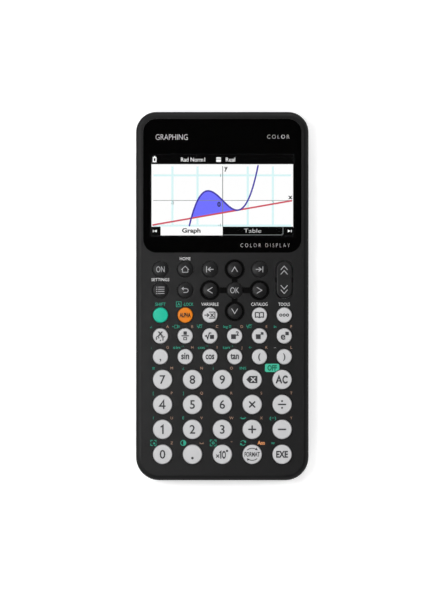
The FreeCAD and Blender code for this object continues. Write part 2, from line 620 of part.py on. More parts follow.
def make_rear_cover():
    body = new_body("rear_cover")
    outer = new_sketch(body, "rear_outline", "XY_Plane", "foot_drop")
    add_outline(outer, "0")
    block = pad(body, outer, "parting_height - foot_drop")
    rolled = round_edges(body, block, at_height("foot_drop"), "back_roll")
    round_edges(body, rolled, at_height("parting_height"), "seam", "PartDesign::Chamfer")
    inner = new_sketch(body, "rear_inside", "XY_Plane", "foot_drop + back_plate")
    add_outline(inner, "wall")
    pocket(body, inner, "parting_height")

    floor = "(foot_drop + back_plate)"
    tongue = new_sketch(body, "rear_tongue", "XY_Plane", floor)
    add_outline(tongue, "(wall + part_gap)")
    add_outline(tongue, "(wall + part_gap + lip_thick)")
    pad(body, tongue, "parting_height + lip_rise - %s" % floor)

    tub = new_sketch(body, "bay_block", "XY_Plane", floor)
    add_rectangle(tub, "-bay_half_x - bay_wall", "bay_half_x + bay_wall",
                  "hatch_low - bay_wall / 2", "hatch_high + bay_wall / 2")
    pad(body, tub, "bay_roof_low + bay_roof_thick - %s" % floor)
    room = new_sketch(body, "bay_room", "XY_Plane", "foot_drop")
    add_rectangle(room, "-bay_half_x", "bay_half_x", "bay_middle - bay_half_y", "bay_middle + bay_half_y")
    pocket(body, room, "bay_roof_low - foot_drop")
    door = new_sketch(body, "hatch_seat", "XY_Plane", "foot_drop")
    add_rounded(door, "hatch_half_x + hatch_gap", "hatch_low - hatch_gap", "hatch_high + hatch_gap",
                "hatch_corner + hatch_gap", "hatch_corner + hatch_gap")
    pocket(body, door, "back_plate + part_gap")
    slots = new_sketch(body, "tab_slots", "XY_Plane", floor)
    for sign in ("-", ""):
        middle = sign + "tab_place"
        add_rectangle(slots, "%s - tab_half - hatch_gap" % middle, "%s + tab_half + hatch_gap" % middle,
                      "bay_middle + bay_half_y", "hatch_high + bay_wall")
    pocket(body, slots, "tab_room")
    thumb = new_sketch(body, "finger_recess", "XY_Plane", "foot_drop")
    add_wide_slot(thumb, "hatch_low - thumb_width / 2", "thumb_half - thumb_width / 2", "thumb_width / 2")
    pocket(body, thumb, "thumb_depth")

    sockets = new_sketch(body, "rear_sockets", "XY_Plane", floor)
    for across, along in SCREWS:
        add_circle(sockets, across, along, "rear_boss_radius")
    pad(body, sockets, "boss_low - part_gap - %s" % floor)
    sinks = new_sketch(body, "head_recesses", "XY_Plane", "foot_drop")
    for across, along in SCREWS:
        add_circle(sinks, across, along, "sink_radius")
    pocket(body, sinks, "sink_high - foot_drop")
    drills = new_sketch(body, "shank_holes", "XY_Plane", "foot_drop")
    for across, along in SCREWS:
        add_circle(drills, across, along, "shank_radius + drill_room")
    add_circle(drills, "reset_switch_across", "reset_switch_along", "reset_radius")
    pocket(body, drills, "boss_low")

    seats = new_sketch(body, "foot_seats", "XY_Plane", "foot_drop")
    for across in ("-foot_x", "foot_x"):
        for along in ("-foot_y", "foot_y"):
            add_circle(seats, across, along, "foot_radius + part_gap")
    pocket(body, seats, "foot_sink")

    posts = new_sketch(body, "board_posts", "XY_Plane", floor)
    for across in ("-board_half + post_inset", "0", "board_half - post_inset"):
        for along in ("board_bottom + post_inset", "board_top - post_inset"):
            add_circle(posts, across, along, "post_radius")
    pad(body, posts, "board_low - %s" % floor)
    return body


def make_battery_cover():
    """The battery door: a plate with two hinge tabs at one end and a ribbed thumb latch at the other."""
    body = new_body("battery_cover")
    plate = new_sketch(body, "door_plate", "XY_Plane", "foot_drop")
    add_rounded(plate, "hatch_half_x", "hatch_low", "hatch_high", "hatch_corner", "hatch_corner")
    pad(body, plate, "back_plate")
    floor = "(foot_drop + back_plate)"
    roots = new_sketch(body, "tab_roots", "XY_Plane", floor)
    tabs = new_sketch(body, "tab_tips", "XY_Plane", floor + " + part_gap")
    for sign in ("-", ""):
        middle = sign + "tab_place"
        add_rectangle(roots, "%s - tab_half" % middle, "%s + tab_half" % middle,
                      "hatch_high - tab_root", "hatch_high")
        add_rectangle(tabs, "%s - tab_half" % middle, "%s + tab_half" % middle,
                      "hatch_high - tab_root", "hatch_high + tab_reach")
    pad(body, roots, "tab_thick + part_gap")
    pad(body, tabs, "tab_thick")
    ribs = new_sketch(body, "thumb_ribs", "XY_Plane", "foot_drop")
    for count in range(1, GRIP_GROOVES + 1):
        start = "hatch_low + rib_pitch * %d" % count
        add_rectangle(ribs, "-thumb_half", "thumb_half", start, start + " + rib_pitch / 2")
    pocket(body, ribs, "rib_depth")
    return body


# ---------------------------------------------------------------- display

def make_display_window():
    body = new_body("display_window")
    sketch = new_sketch(body, "window_outline", "XY_Plane", "face_height - window_thick")
    add_rounded(sketch, "window_width / 2", "window_middle - window_length / 2",
                "window_middle + window_length / 2", "window_corner", "window_corner")
    pane = pad(body, sketch, "window_thick")
    round_edges(body, pane, at_height("face_height"), "window_bevel", "PartDesign::Chamfer")
    return body


def make_display_module():
    """The display panel, its backlight frame and the flex cable down to the circuit board."""
    glass = new_body("display_glass")
    panel = new_sketch(glass, "panel_outline", "XY_Plane", PLATE_UNDER)
    add_rectangle(panel, "-panel_width / 2", "panel_width / 2",
                  "panel_middle - panel_length / 2", "panel_middle + panel_length / 2")
    pad(glass, panel, "panel_thick")

    frame = new_body("display_frame")
    border = new_sketch(frame, "frame_outline", "XY_Plane", "%s - frame_thick" % PLATE_UNDER)
    left, right = "(-panel_width / 2 - frame_border)", "(panel_width / 2 + frame_border)"
    low = "(panel_middle - panel_length / 2 - frame_border)"
    high = "(panel_middle + panel_length / 2 + frame_border)"
    add_rectangle(border, left, right, low, high)
    pad(frame, border, "frame_thick")

    flex = new_body("display_flex")
    side = new_sketch(flex, "flex_side", "YZ_Plane", "-flex_width / 2")
    upper = "(%s - flex_drop)" % PLATE_UNDER
    drop = "(board_top - flex_land)"
    add_polygon(side, [
        (low, upper), (low, upper + " - flex_thick"),
        (drop + " + flex_thick", upper + " - flex_thick"), (drop + " + flex_thick", BOARD_UPPER),
        (drop, BOARD_UPPER), (drop, upper),
    ])
    pad(flex, side, "flex_width")

    module = DOCUMENT.addObject("Part::Compound", "display_module")
    module.Links = [glass, frame, flex]
    return module


# ---------------------------------------------------------------- key mat and board

def make_key_mat():
    """One silicone sheet with a hollow dome under every key."""
    body = new_body("key_mat")
    sheet = new_sketch(body, "mat_outline", "XY_Plane", BOARD_UPPER)
    edge = "(board_half - mat_border)"
    add_rectangle(sheet, "-" + edge, edge, "board_bottom + mat_border", "board_top - mat_end")
    pad(body, sheet, "mat_thick")
    domes = new_sketch(body, "domes", "XY_Plane", MAT_UPPER)
    for across, along in DOME_SPOTS:
        add_circle(domes, across, along, "dome_radius")
    pad(body, domes, "dome_top - %s" % MAT_UPPER, taper="-dome_taper")
    hollows = new_sketch(body, "dome_hollows", "XY_Plane", BOARD_UPPER)
    for across, along in DOME_SPOTS:
        add_circle(hollows, across, along, "dome_radius - dome_skin")
    pocket(body, hollows, "dome_top - dome_skin - %s" % BOARD_UPPER, taper="-dome_taper")
    holes = new_sketch(body, "mat_holes", "XY_Plane", BOARD_UPPER)
    for across, along in THROUGH_MAT:
        add_circle(holes, across, along, "boss_radius + boss_room")
    pocket(body, holes, "mat_thick")
    return body


def make_circuit_board():
    """The board under the keys, its arm past the battery bay, and the parts soldered to it."""
    board = new_body("bare_board")
    outline = new_sketch(board, "board_outline", "XY_Plane", "board_low")
    add_polygon(outline, [
        ("-board_half", "board_bottom"), ("board_half", "board_bottom"), ("board_half", "board_top"),
        ("-arm_inner", "board_top"), ("-arm_inner", "head_low"), ("head_right", "head_low"),
        ("head_right", "head_high"), ("-arm_outer + head_step", "head_high"),
        ("-arm_outer + head_step", "head_low"), ("-arm_outer", "head_low"),
        ("-arm_outer", "board_top"), ("-board_half", "board_top"),
    ])
    pad(board, outline, "board_thick")
    holes = new_sketch(board, "board_holes", "XY_Plane", "board_low")
    for across, along in THROUGH_BOARD:
        add_circle(holes, across, along, "boss_radius + boss_room")
    pocket(board, holes, "board_thick")

    # soldered parts hang under the board, and the connector stands on it
    parts = [board]
    for name, *sizes in CHIPS:
        chip = DOCUMENT.addObject("Part::Box", name)
        chip.setExpression("Length", full(name + "_wide"))
        chip.setExpression("Width", full(name + "_long"))
        chip.setExpression("Height", full(name + "_tall"))
        chip.setExpression("Placement.Base.x", full("%s_across - %s_wide / 2" % (name, name)))
        chip.setExpression("Placement.Base.y", full("%s_along - %s_long / 2" % (name, name)))
        chip.setExpression("Placement.Base.z", full("board_low - %s_tall" % name))
        parts.append(chip)

    port = new_body("port_shell")
    middle = "(%s + port_tall / 2)" % BOARD_UPPER
    shell = new_sketch(port, "port_outline", "XZ_Plane", "-port_mouth")
    add_wide_slot(shell, middle, "port_half - port_tall / 2", "port_tall / 2")
    pad(port, shell, "port_deep")
    hollow = new_sketch(port, "port_hollow", "XZ_Plane", "-port_mouth")
    add_wide_slot(hollow, middle, "port_half - port_tall / 2", "port_tall / 2 - port_skin")
    pocket(port, hollow, "port_deep - port_back")
    tongue = new_sketch(port, "port_tongue", "XZ_Plane", "-port_mouth + tongue_back")
    add_rectangle(tongue, "-port_half + tongue_side", "port_half - tongue_side",
                  middle + " - tongue_half", middle + " + tongue_half")
    pad(port, tongue, "port_deep - tongue_back - port_back / 2")
    parts.append(port)

    whole = DOCUMENT.addObject("Part::Compound", "circuit_board")
    whole.Links = parts
    return whole


# ---------------------------------------------------------------- batteries

CELL_SPOTS = ["bay_middle + %s * cell_pitch" % count for count in (-1.5, -0.5, 0.5, 1.5)]


def make_batteries():
    """Four cells side by side, each turned end for end from its neighbour."""
    body = new_body("batteries")
    for name, side, spots in (("cells_right", "", CELL_SPOTS[0::2]), ("cells_left", "-", CELL_SPOTS[1::2])):
        # a cell whose button points to +X sits against the +X contact, the others against -X
        reach = "(bay_half_x - contact_thick - part_gap - nub_length)"
        start = reach if side == "" else "-" + reach
        round_part = new_sketch(body, name, "YZ_Plane", start)
        button = new_sketch(body, name + "_buttons", "YZ_Plane", start)
        for along in spots:
            add_circle(round_part, along, CELL_AXIS, "cell_radius")
            add_circle(button, along, CELL_AXIS, "nub_radius")
        pad(body, round_part, "cell_length", downwards=side == "")
        pad(body, button, "nub_length", downwards=side == "-")
    return body


def make_battery_contacts():
    """Contact plates at both ends of the bay, and a coil spring behind each flat cell end."""
    body = new_body("battery_plates")
    low, high = "(%s - plate_half)" % CELL_AXIS, "(%s + plate_half)" % CELL_AXIS
    # one plate spans two cells, except the two end plates where the wires leave
    for side, spans in (("-", [(0, 1), (2, 3)]), ("", [(0, 0), (1, 2), (3, 3)])):
        name = "plates_left" if side else "plates_right"
        start = "-bay_half_x" if side else "bay_half_x - contact_thick"
        plates = new_sketch(body, name, "YZ_Plane", start)
        for first, last in spans:
            add_rectangle(plates, "%s - plate_half" % CELL_SPOTS[first],
                          "%s + plate_half" % CELL_SPOTS[last], low, high)
        pad(body, plates, "contact_thick")
    contacts = DOCUMENT.addObject("Part::Compound", "battery_contacts")
    contacts.Links = [body] + [make_spring(count, along) for count, along in enumerate(CELL_SPOTS)]
    return contacts


def make_spring(count, along):
    """A coil spring of many-sided wire, standing on the contact plate behind one flat cell end."""
    body = new_body("spring_%d" % count)
    section = new_sketch(body, "spring_%d_wire" % count, "XZ_Plane")
    turns = ["((%d + 0.5) * 360 / %d)" % (corner, WIRE_SIDES) for corner in range(WIRE_SIDES)]
    add_polygon(section, [
        ("spring_radius + spring_wire * cos(%s)" % turn, "spring_wire * sin(%s)" % turn) for turn in turns])
    plate = "(bay_half_x - contact_thick)"
    room = "(2 * %s - part_gap - nub_length - cell_length)" % plate
    rise = "(%s - part_gap / 2 - 2 * spring_wire)" % room
    coil = body.newObject("PartDesign::AdditiveHelix", "spring_%d_coil" % count)
    coil.Profile = section
    coil.ReferenceAxis = (section, ["V_Axis"])
    coil.Mode = "pitch-height-angle"
    coil.setExpression("Height", full(rise))
    coil.setExpression("Pitch", full("%s / spring_turns" % rise))
    # the buttons point to +X and -X by turns, so the flat ends do too
    side = ("-", "+")[count % 2]
    quarter = {"-": 90, "+": -90}[side]
    body.Placement = FreeCAD.Placement(ORIGIN, FreeCAD.Rotation(FreeCAD.Vector(0, 1, 0), quarter))
    body.setExpression("Placement.Base.x", full("0 %s (%s - spring_wire)" % (side, plate)))
    body.setExpression("Placement.Base.y", full(along))
    body.setExpression("Placement.Base.z", full(CELL_AXIS))
    return body


# ---------------------------------------------------------------- screws and feet

def make_cover_screws():
    body = new_body("cover_screws")
    heads = new_sketch(body, "screw_heads", "XY_Plane", "sink_high - head_thick")
    shanks = new_sketch(body, "screw_shanks", "XY_Plane", "sink_high")
    for across, along in SCREWS:
        add_circle(heads, across, along, "head_radius")
        add_circle(shanks, across, along, "shank_radius")
    top = pad(body, heads, "head_thick")
    round_edges(body, top, at_height("sink_high - head_thick"), "head_edge")
    pad(body, shanks, "shank_high - sink_high")
    cross = new_sketch(body, "screw_crosses", "XY_Plane", "sink_high - head_thick")
    for across, along in SCREWS:
        narrow, wide = "cross_width / 2", "cross_reach"
        add_polygon(cross, [("%s %s %s" % (across, one, two), "%s %s %s" % (along, three, four))
                            for one, two, three, four in (
            ("-", wide, "-", narrow), ("-", narrow, "-", narrow), ("-", narrow, "-", wide),
            ("+", narrow, "-", wide), ("+", narrow, "-", narrow), ("+", wide, "-", narrow),
            ("+", wide, "+", narrow), ("+", narrow, "+", narrow), ("+", narrow, "+", wide),
            ("-", narrow, "+", wide), ("-", narrow, "+", narrow), ("-", wide, "+", narrow))])
    pocket(body, cross, "cross_depth")
    return body


def make_rubber_feet():
    body = new_body("rubber_feet")
    sketch = new_sketch(body, "feet", "XY_Plane", "0")
    for across in ("-foot_x", "foot_x"):
        for along in ("-foot_y", "foot_y"):
            add_circle(sketch, across, along, "foot_radius")
    discs = pad(body, sketch, "foot_drop + foot_sink")
    round_edges(body, discs, at_height("0"), "foot_edge")
    return body


# ---------------------------------------------------------------- build, check and write

NODES = [make_key(*key) for key in KEYS]
NODES.append(make_rocker())
NODES += [
    make_front_cover(), make_rear_cover(), make_battery_cover(),
    make_display_window(), make_display_module(), make_key_mat(), make_circuit_board(),
    make_batteries(), make_battery_contacts(), make_cover_screws(), make_rubber_feet(),
]
DOCUMENT.recompute()

for item in DOCUMENT.Objects:
    if "Invalid" in item.State or "Error" in item.State:
        raise RuntimeError("%s failed: %s" % (item.Name, item.State))
for node in NODES:
    if node.Shape.isNull() or not node.Shape.isValid():
        raise RuntimeError("%s has no valid shape" % node.Label)

os.makedirs("parts", exist_ok=True)
for node in NODES:
    node.Shape.exportStep("parts/%s.step" % node.Label)
print("%d sub-parts written" % len(NODES))
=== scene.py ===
import json
import math

import bmesh
import bpy
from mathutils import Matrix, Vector
from mathutils.bvhtree import BVHTree


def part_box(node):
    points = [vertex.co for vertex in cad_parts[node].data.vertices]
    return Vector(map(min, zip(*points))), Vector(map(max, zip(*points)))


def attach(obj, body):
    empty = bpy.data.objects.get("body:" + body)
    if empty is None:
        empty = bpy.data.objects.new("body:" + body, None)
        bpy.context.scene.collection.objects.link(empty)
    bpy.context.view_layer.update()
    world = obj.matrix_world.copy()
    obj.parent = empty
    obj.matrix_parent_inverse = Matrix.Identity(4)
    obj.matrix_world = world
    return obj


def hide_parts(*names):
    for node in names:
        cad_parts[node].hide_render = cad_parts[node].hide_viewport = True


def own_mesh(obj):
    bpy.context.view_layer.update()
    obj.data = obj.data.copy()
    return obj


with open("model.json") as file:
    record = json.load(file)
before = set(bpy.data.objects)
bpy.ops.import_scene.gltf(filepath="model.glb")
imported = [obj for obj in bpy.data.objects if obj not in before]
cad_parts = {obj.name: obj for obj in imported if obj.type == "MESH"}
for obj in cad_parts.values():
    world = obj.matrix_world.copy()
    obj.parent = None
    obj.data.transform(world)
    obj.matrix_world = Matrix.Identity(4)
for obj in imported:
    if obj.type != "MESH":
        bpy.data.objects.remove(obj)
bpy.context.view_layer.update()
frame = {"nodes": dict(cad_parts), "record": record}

MM = 0.001
NODES = frame["nodes"]
BODY_OF = {node: body for body, members in frame["record"]["behaviour"]["bodies"].items() for node in members}
KEYS = [node for node in NODES if node.startswith("key_") and node != "key_mat"]
SLOT_OF = {part["node"]: part["material_slot"] for part in frame["record"]["subparts"]}
CASE = "case"

BOXES = {node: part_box(node) for node in NODES}
FACE_Z = BOXES["front_cover"][1].z
WINDOW_LOW, WINDOW_HIGH = BOXES["display_window"]


def middle(node):
    low, high = BOXES[node]
    return (low + high) / 2


def new_object(name, data):
    """A new object in the scene."""
    made = bpy.data.objects.new(name, data)
    bpy.context.scene.collection.objects.link(made)
    return made


# ------------------------------ materials

def new_material(name):
    """An empty node material with its Principled shader and object coordinates."""
    material = bpy.data.materials.new(name)
    material.use_nodes = True
    tree = material.node_tree
    shader = tree.nodes["Principled BSDF"]
    place = tree.nodes.new("ShaderNodeTexCoord")
    return material, tree, shader, place.outputs["Object"]


def settle(node, **values):
    """A plain value or a link for each input of a shader node, named with _ for a space."""
    for name, value in values.items():
        target = node.inputs[name.replace("_", " ")]
        if isinstance(value, bpy.types.NodeSocket):
            node.id_data.links.new(value, target)
        else:
            target.default_value = value


def noise(tree, place, scale, detail):
    """Noise with features of a given size, in millimetres."""
    node = tree.nodes.new("ShaderNodeTexNoise")
    settle(node, Scale=1.0 / (scale * MM), Detail=detail, Vector=place)
    return node.outputs["Fac"]


def spread(tree, value, low, high, from_low=0.3, from_high=0.7):
    """A value moved from one range to another."""
    node = tree.nodes.new("ShaderNodeMapRange")
    settle(node, Value=value, From_Min=from_low, From_Max=from_high, To_Min=low, To_Max=high)
    return node.outputs["Result"]


def specks(tree, place, scale, detail):
    """Noise stretched to run from 0 to 1."""
    return spread(tree, noise(tree, place, scale, detail), 0.0, 1.0)


def mix(tree, share, first, second):
    """Two colours mixed; each is a colour or a socket."""
    node = tree.nodes.new("ShaderNodeMix")
    node.data_type = "RGBA"
    for socket, colour in (("A", first), ("B", second)):
        target = next(one for one in node.inputs if one.name == socket and one.type == "RGBA")
        if isinstance(colour, bpy.types.NodeSocket):
            tree.links.new(colour, target)
        else:
            target.default_value = (*colour, 1.0)
    settle(node, Factor=share)
    return next(one for one in node.outputs if one.type == "RGBA")


def bump(tree, shader, height, depth):
    """Small relief, its depth in millimetres."""
    node = tree.nodes.new("ShaderNodeBump")
    settle(node, Strength=1.0, Distance=depth * MM, Height=height)
    settle(shader, Normal=node.outputs["Normal"])


def mottle(tree, shader, pattern, colour, change):
    """A base colour that a noise pattern makes a little darker and lighter."""
    darker, lighter = [tuple(channel * factor for channel in colour) for factor in (1 - change, 1 + change)]
    settle(shader, Base_Color=mix(tree, spread(tree, pattern, 0.0, 1.0), darker, lighter))


def moulded(name, colour, roughness, grain, depth, change=0.08, gloss=0.5):
    """Moulded plastic: a fine grain, faint mottling and slightly uneven sheen."""
    material, tree, shader, place = new_material(name)
    mottle(tree, shader, noise(tree, place, 9.0, 3.0), colour, change)
    handled = noise(tree, place, 4.0, 4.0)
    sheen = spread(tree, handled, roughness - 0.05, roughness + 0.05)
    settle(shader, Roughness=sheen, Specular_IOR_Level=gloss)
    bump(tree, shader, noise(tree, place, grain, 2.0), depth)
    return material


def ink(name, colour, roughness=0.55, gloss=0.3):
    """Printed ink: almost flat colour with a faint speckle."""
    material, tree, shader, place = new_material(name)
    speckle = noise(tree, place, 0.12, 1.0)
    mottle(tree, shader, speckle, colour, 0.06)
    settle(shader, Roughness=roughness, Specular_IOR_Level=gloss)
    bump(tree, shader, speckle, 0.002)
    return material


DOT_PITCH = 0.19


def lit(name, colour, strength=1.1):
    """A lit area of the display: light broken up by the fine grid of the panel's dots."""
    material, tree, shader, place = new_material(name)
    dots = tree.nodes.new("ShaderNodeTexChecker")
    dimmer = [channel * 0.96 for channel in colour]
    settle(dots, Vector=place, Scale=1.0 / (DOT_PITCH * MM), Color1=(*colour, 1.0), Color2=(*dimmer, 1.0))
    settle(shader, Base_Color=(0.0, 0.0, 0.0, 1.0), Roughness=0.6, Specular_IOR_Level=0.0)
    settle(shader, Emission_Color=dots.outputs["Color"], Emission_Strength=strength)
    return material


def metal(name, colour, roughness, grain=0.5):
    """Bare metal, its colour and sheen uneven where it is handled."""
    material, tree, shader, place = new_material(name)
    grime = noise(tree, place, 2.0, 3.0)
    mottle(tree, shader, grime, colour, 0.1)
    settle(shader, Metallic=1.0, Roughness=spread(tree, grime, roughness - 0.08, roughness + 0.1))
    bump(tree, shader, noise(tree, place, grain, 2.0), 0.004)
    return material


def pane():
    """The clear display window, hard coated."""
    material, tree, shader, place = new_material("window_clear")
    smear = spread(tree, noise(tree, place, 14.0, 3.0), 0.015, 0.045)
    settle(shader, Base_Color=(1.0, 1.0, 1.0, 1.0), Transmission_Weight=1.0, IOR=1.49, Roughness=smear)
    bump(tree, shader, noise(tree, place, 30.0, 1.0), 0.004)
    return material


def above(tree, place, axis, level, width=0.05):
    """1 where the object coordinate is above a level, 0 below it."""
    split = tree.nodes.new("ShaderNodeSeparateXYZ")
    settle(split, Vector=place)
    half = width * MM / 2
    return spread(tree, split.outputs[axis], 0.0, 1.0, level - half, level + half)


GLASS_THICK = 0.9 * MM
CABLE_START = 30 * MM
BOARD_THICK = 1.6 * MM
TRACK_PITCH = 2.2
BAND_START = 14 * MM
LEVEL_ROOM = 0.02 * MM


def display_stack():
    """Dark panel glass over a grey frame, with an amber flex cable behind them."""
    material, tree, shader, place = new_material("display_stack")
    frame_top = BOXES["display_module"][1].z - GLASS_THICK
    frame_end = middle("display_window").y - CABLE_START
    speckle = specks(tree, place, 0.6, 2.0)
    steel = mix(tree, speckle, (0.20, 0.20, 0.21), (0.26, 0.26, 0.27))
    amber = mix(tree, speckle, (0.42, 0.17, 0.03), (0.55, 0.24, 0.05))
    behind = mix(tree, above(tree, place, "Y", frame_end), amber, steel)
    glass = mix(tree, speckle, (0.004, 0.004, 0.006), (0.006, 0.006, 0.008))
    settle(shader, Base_Color=mix(tree, above(tree, place, "Z", frame_top), behind, glass), Roughness=0.25)
    bump(tree, shader, noise(tree, place, 0.3, 1.0), 0.002)
    return material


def board():
    """Green solder mask with faint tracks, black packages under it and the steel connector above."""
    material, tree, shader, place = new_material("board_mask")
    board_top = BOXES["key_mat"][0].z
    tracks = tree.nodes.new("ShaderNodeTexVoronoi")
    tracks.distance = "MANHATTAN"
    tracks.feature = "DISTANCE_TO_EDGE"
    settle(tracks, Vector=place, Scale=1.0 / (TRACK_PITCH * MM))
    line = spread(tree, tracks.outputs["Distance"], 1.0, 0.0, 0.04, 0.09)
    mask = mix(tree, line, (0.008, 0.075, 0.03), (0.02, 0.15, 0.06))
    packages = mix(tree, above(tree, place, "Z", board_top - BOARD_THICK), (0.015, 0.015, 0.016), mask)
    steel = mix(tree, above(tree, place, "Z", board_top + LEVEL_ROOM), packages, (0.55, 0.55, 0.56))
    settle(shader, Base_Color=steel, Roughness=0.35)
    bump(tree, shader, line, 0.02)
    return material


def cell_wrap():
    """Plain battery sleeves with a copper-coloured band round the button end."""
    material, tree, shader, place = new_material("cell_wrap")
    scuffs = specks(tree, place, 1.2, 4.0)
    sleeve = mix(tree, scuffs, (0.012, 0.014, 0.02), (0.02, 0.022, 0.03))
    band = mix(tree, scuffs, (0.42, 0.2, 0.07), (0.5, 0.26, 0.1))
    settle(shader, Base_Color=mix(tree, above(tree, place, "X", BAND_START), sleeve, band))
    settle(shader, Metallic=0.4, Roughness=0.32)
    bump(tree, shader, noise(tree, place, 0.8, 2.0), 0.003)
    return material


BLACK_BODY = (0.0046, 0.0046, 0.0048)
# Painted shade on the front's rim: the same plastic as the face, given a darker colour and less sheen below
# the flat face.
RIM_SHADE_BLACK = (0.003, 0.003, 0.0032)
BODY_GLOSS = 0.2
RIM_SHADE_GLOSS = 0.09
BACK_GLOSS = 0.13
RIM_SHADE_DROP = 0.6


def front_shell():
    """The front's plastic, with painted shade where it turns down to the sides: a darker colour and less
    sheen there stand in for the shade that falls on the rounded rim.
    """
    material = moulded("front_plastic", BLACK_BODY, 0.42, 0.3, 0.008, gloss=BODY_GLOSS)
    tree = material.node_tree
    shader = tree.nodes["Principled BSDF"]
    place = next(node for node in tree.nodes if node.type == "TEX_COORD").outputs["Object"]
    # Below the flat face the colour and the sheen are made darker: painted shade on the rounded rim.
    flat = above(tree, place, "Z", FACE_Z - RIM_SHADE_DROP * MM, RIM_SHADE_DROP)
    usual = shader.inputs["Base Color"].links[0].from_socket
    settle(shader, Base_Color=mix(tree, flat, RIM_SHADE_BLACK, usual),
           Specular_IOR_Level=spread(tree, flat, RIM_SHADE_GLOSS, BODY_GLOSS, 0.0, 1.0))
    return material


PLASTICS = {
    "front_cover": front_shell(),
    "rear_cover": moulded("rear_plastic", BLACK_BODY, 0.5, 0.45, 0.03, gloss=BACK_GLOSS),
    "battery_cover": moulded("door_plastic", BLACK_BODY, 0.5, 0.45, 0.03, gloss=BACK_GLOSS),
    "key_mat": moulded("mat_silicone", (0.35, 0.36, 0.38), 0.6, 1.0, 0.01),
    "rubber_feet": moulded("foot_rubber", (0.012, 0.012, 0.012), 0.85, 0.25, 0.03),
}
CAPS = {
    "light_key": moulded("key_light", (0.435, 0.435, 0.44), 0.45, 0.25, 0.004, 0.02, gloss=0.3),
    "dark_key": moulded("key_dark", (0.006, 0.006, 0.0063), 0.4, 0.25, 0.004, gloss=0.22),
    "green_key": moulded("key_green", (0.006, 0.37, 0.245), 0.45, 0.25, 0.004, 0.03, gloss=0.25),
    "orange_key": moulded("key_orange", (0.59, 0.16, 0.003), 0.45, 0.25, 0.004, 0.03, gloss=0.25),
}

WHITE_INK = ink("ink_white", (0.60, 0.60, 0.60))
GREEN_INK = ink("ink_green", (0.015, 0.29, 0.19))
ORANGE_INK = ink("ink_orange", (0.60, 0.24, 0.09))
SILVER_INK = metal("ink_silver", (0.62, 0.63, 0.65), 0.35, 0.2)
DARK_INK = ink("ink_dark", (0.02, 0.02, 0.023))
BROWN_INK = ink("ink_brown", (0.03, 0.012, 0.004))
PALE_INK = ink("ink_pale", (0.33, 0.33, 0.34))
KEY_INK = ink("ink_key", (0.46, 0.46, 0.465))
BLACK_INK = ink("ink_black", (0.001, 0.001, 0.001), 0.5, gloss=0.0)
RIM_INK = ink("ink_rim", (0.004, 0.004, 0.004), 0.5, gloss=0.0)
LETTER_INK = ink("ink_letters", (0.34, 0.20, 0.135))
BADGE_INK = ink("ink_badge", (0.04, 0.40, 0.26))
BADGE_DARK_INK = ink("ink_badge_dark", (0.0, 0.10, 0.055))
INLAY_INK = ink("ink_inlay", (0.0015, 0.0015, 0.0015), 0.6, gloss=0.05)
EMBOSS_INK = ink("ink_back", (0.09, 0.09, 0.09), 0.6)

SCREEN_BLACK = lit("screen_black", (0.001, 0.001, 0.001), 1.0)
SCREEN_WHITE = lit("screen_white", (1.0, 1.0, 1.0))
SCREEN_CYAN = lit("screen_cyan", (0.70, 0.92, 0.93))
SCREEN_VIOLET = lit("screen_violet", (0.17, 0.17, 1.0))
SCREEN_GREY = lit("screen_grey", (0.22, 0.24, 0.24))
SCREEN_INK = lit("screen_ink", (0.03, 0.03, 0.03))
SCREEN_RED = lit("screen_red", (0.62, 0.09, 0.12))
SCREEN_BLUE = lit("screen_blue", (0.05, 0.035, 0.36))


def dress(node, material):
    """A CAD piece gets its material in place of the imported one."""
    slots = NODES[node].data.materials
    slots.clear()
    slots.append(material)


def dress_nodes():
    for node, material in PLASTICS.items():
        dress(node, material)
    for node in KEYS:
        dress(node, CAPS[SLOT_OF[node]])
    dress("display_window", pane())
    dress("display_module", display_stack())
    dress("circuit_board", board())
    dress("batteries", cell_wrap())
    dress("battery_contacts", metal("contact_plate", (0.66, 0.65, 0.62), 0.28))
    dress("cover_screws", metal("screw_black", (0.10, 0.10, 0.105), 0.35))


# ------------------------------ flat artwork, in millimetres
# A piece of artwork is a list of patches, and a patch is (points, faces) on a flat sheet.

def arc(across, along, radius, start, end, steps):
    """Points along an arc, its angles in degrees."""
    turns = [math.radians(start + (end - start) * step / steps) for step in range(steps + 1)]
    return [(across + radius * math.cos(turn), along + radius * math.sin(turn)) for turn in turns]


def shape(outline):
    """One filled outline."""
    return [(list(outline), [tuple(range(len(outline)))])]


def circle(across, along, radius, steps=24):
    return arc(across, along, radius, 0, 360, steps)[:-1]


def disc(across, along, radius):
    return shape(circle(across, along, radius))


def corners_of(across, along, width, height):
    """The corners of a rectangle about a centre."""
    return [(across + side_x * width / 2, along + side_y * height / 2)
            for side_x, side_y in ((-1, -1), (1, -1), (1, 1), (-1, 1))]


def rounded(across, along, width, height, corner, steps):
    """The outline of a rectangle about a centre, with round corners."""
    half_x, half_y = width / 2 - corner, height / 2 - corner
    outline = []
    for side_x, side_y, start in ((1, 1, 0), (-1, 1, 90), (-1, -1, 180), (1, -1, 270)):
        outline += arc(across + side_x * half_x, along + side_y * half_y, corner, start, start + 90, steps)
    return outline


def block(across, along, width, height):
    """A filled rectangle about a centre."""
    return shape(corners_of(across, along, width, height))


def ring(across, along, inner, outer):
    """A flat ring."""
    turns = circle(0, 0, 1, 40)
    points = [(across + x * radius, along + y * radius) for radius in (inner, outer) for x, y in turns]
    count = len(turns)
    faces = []
    for place in range(count):
        following = (place + 1) % count
        faces.append((place, count + place, count + following, following))
    return [(points, faces)]


MITRE_LIMIT = 0.4


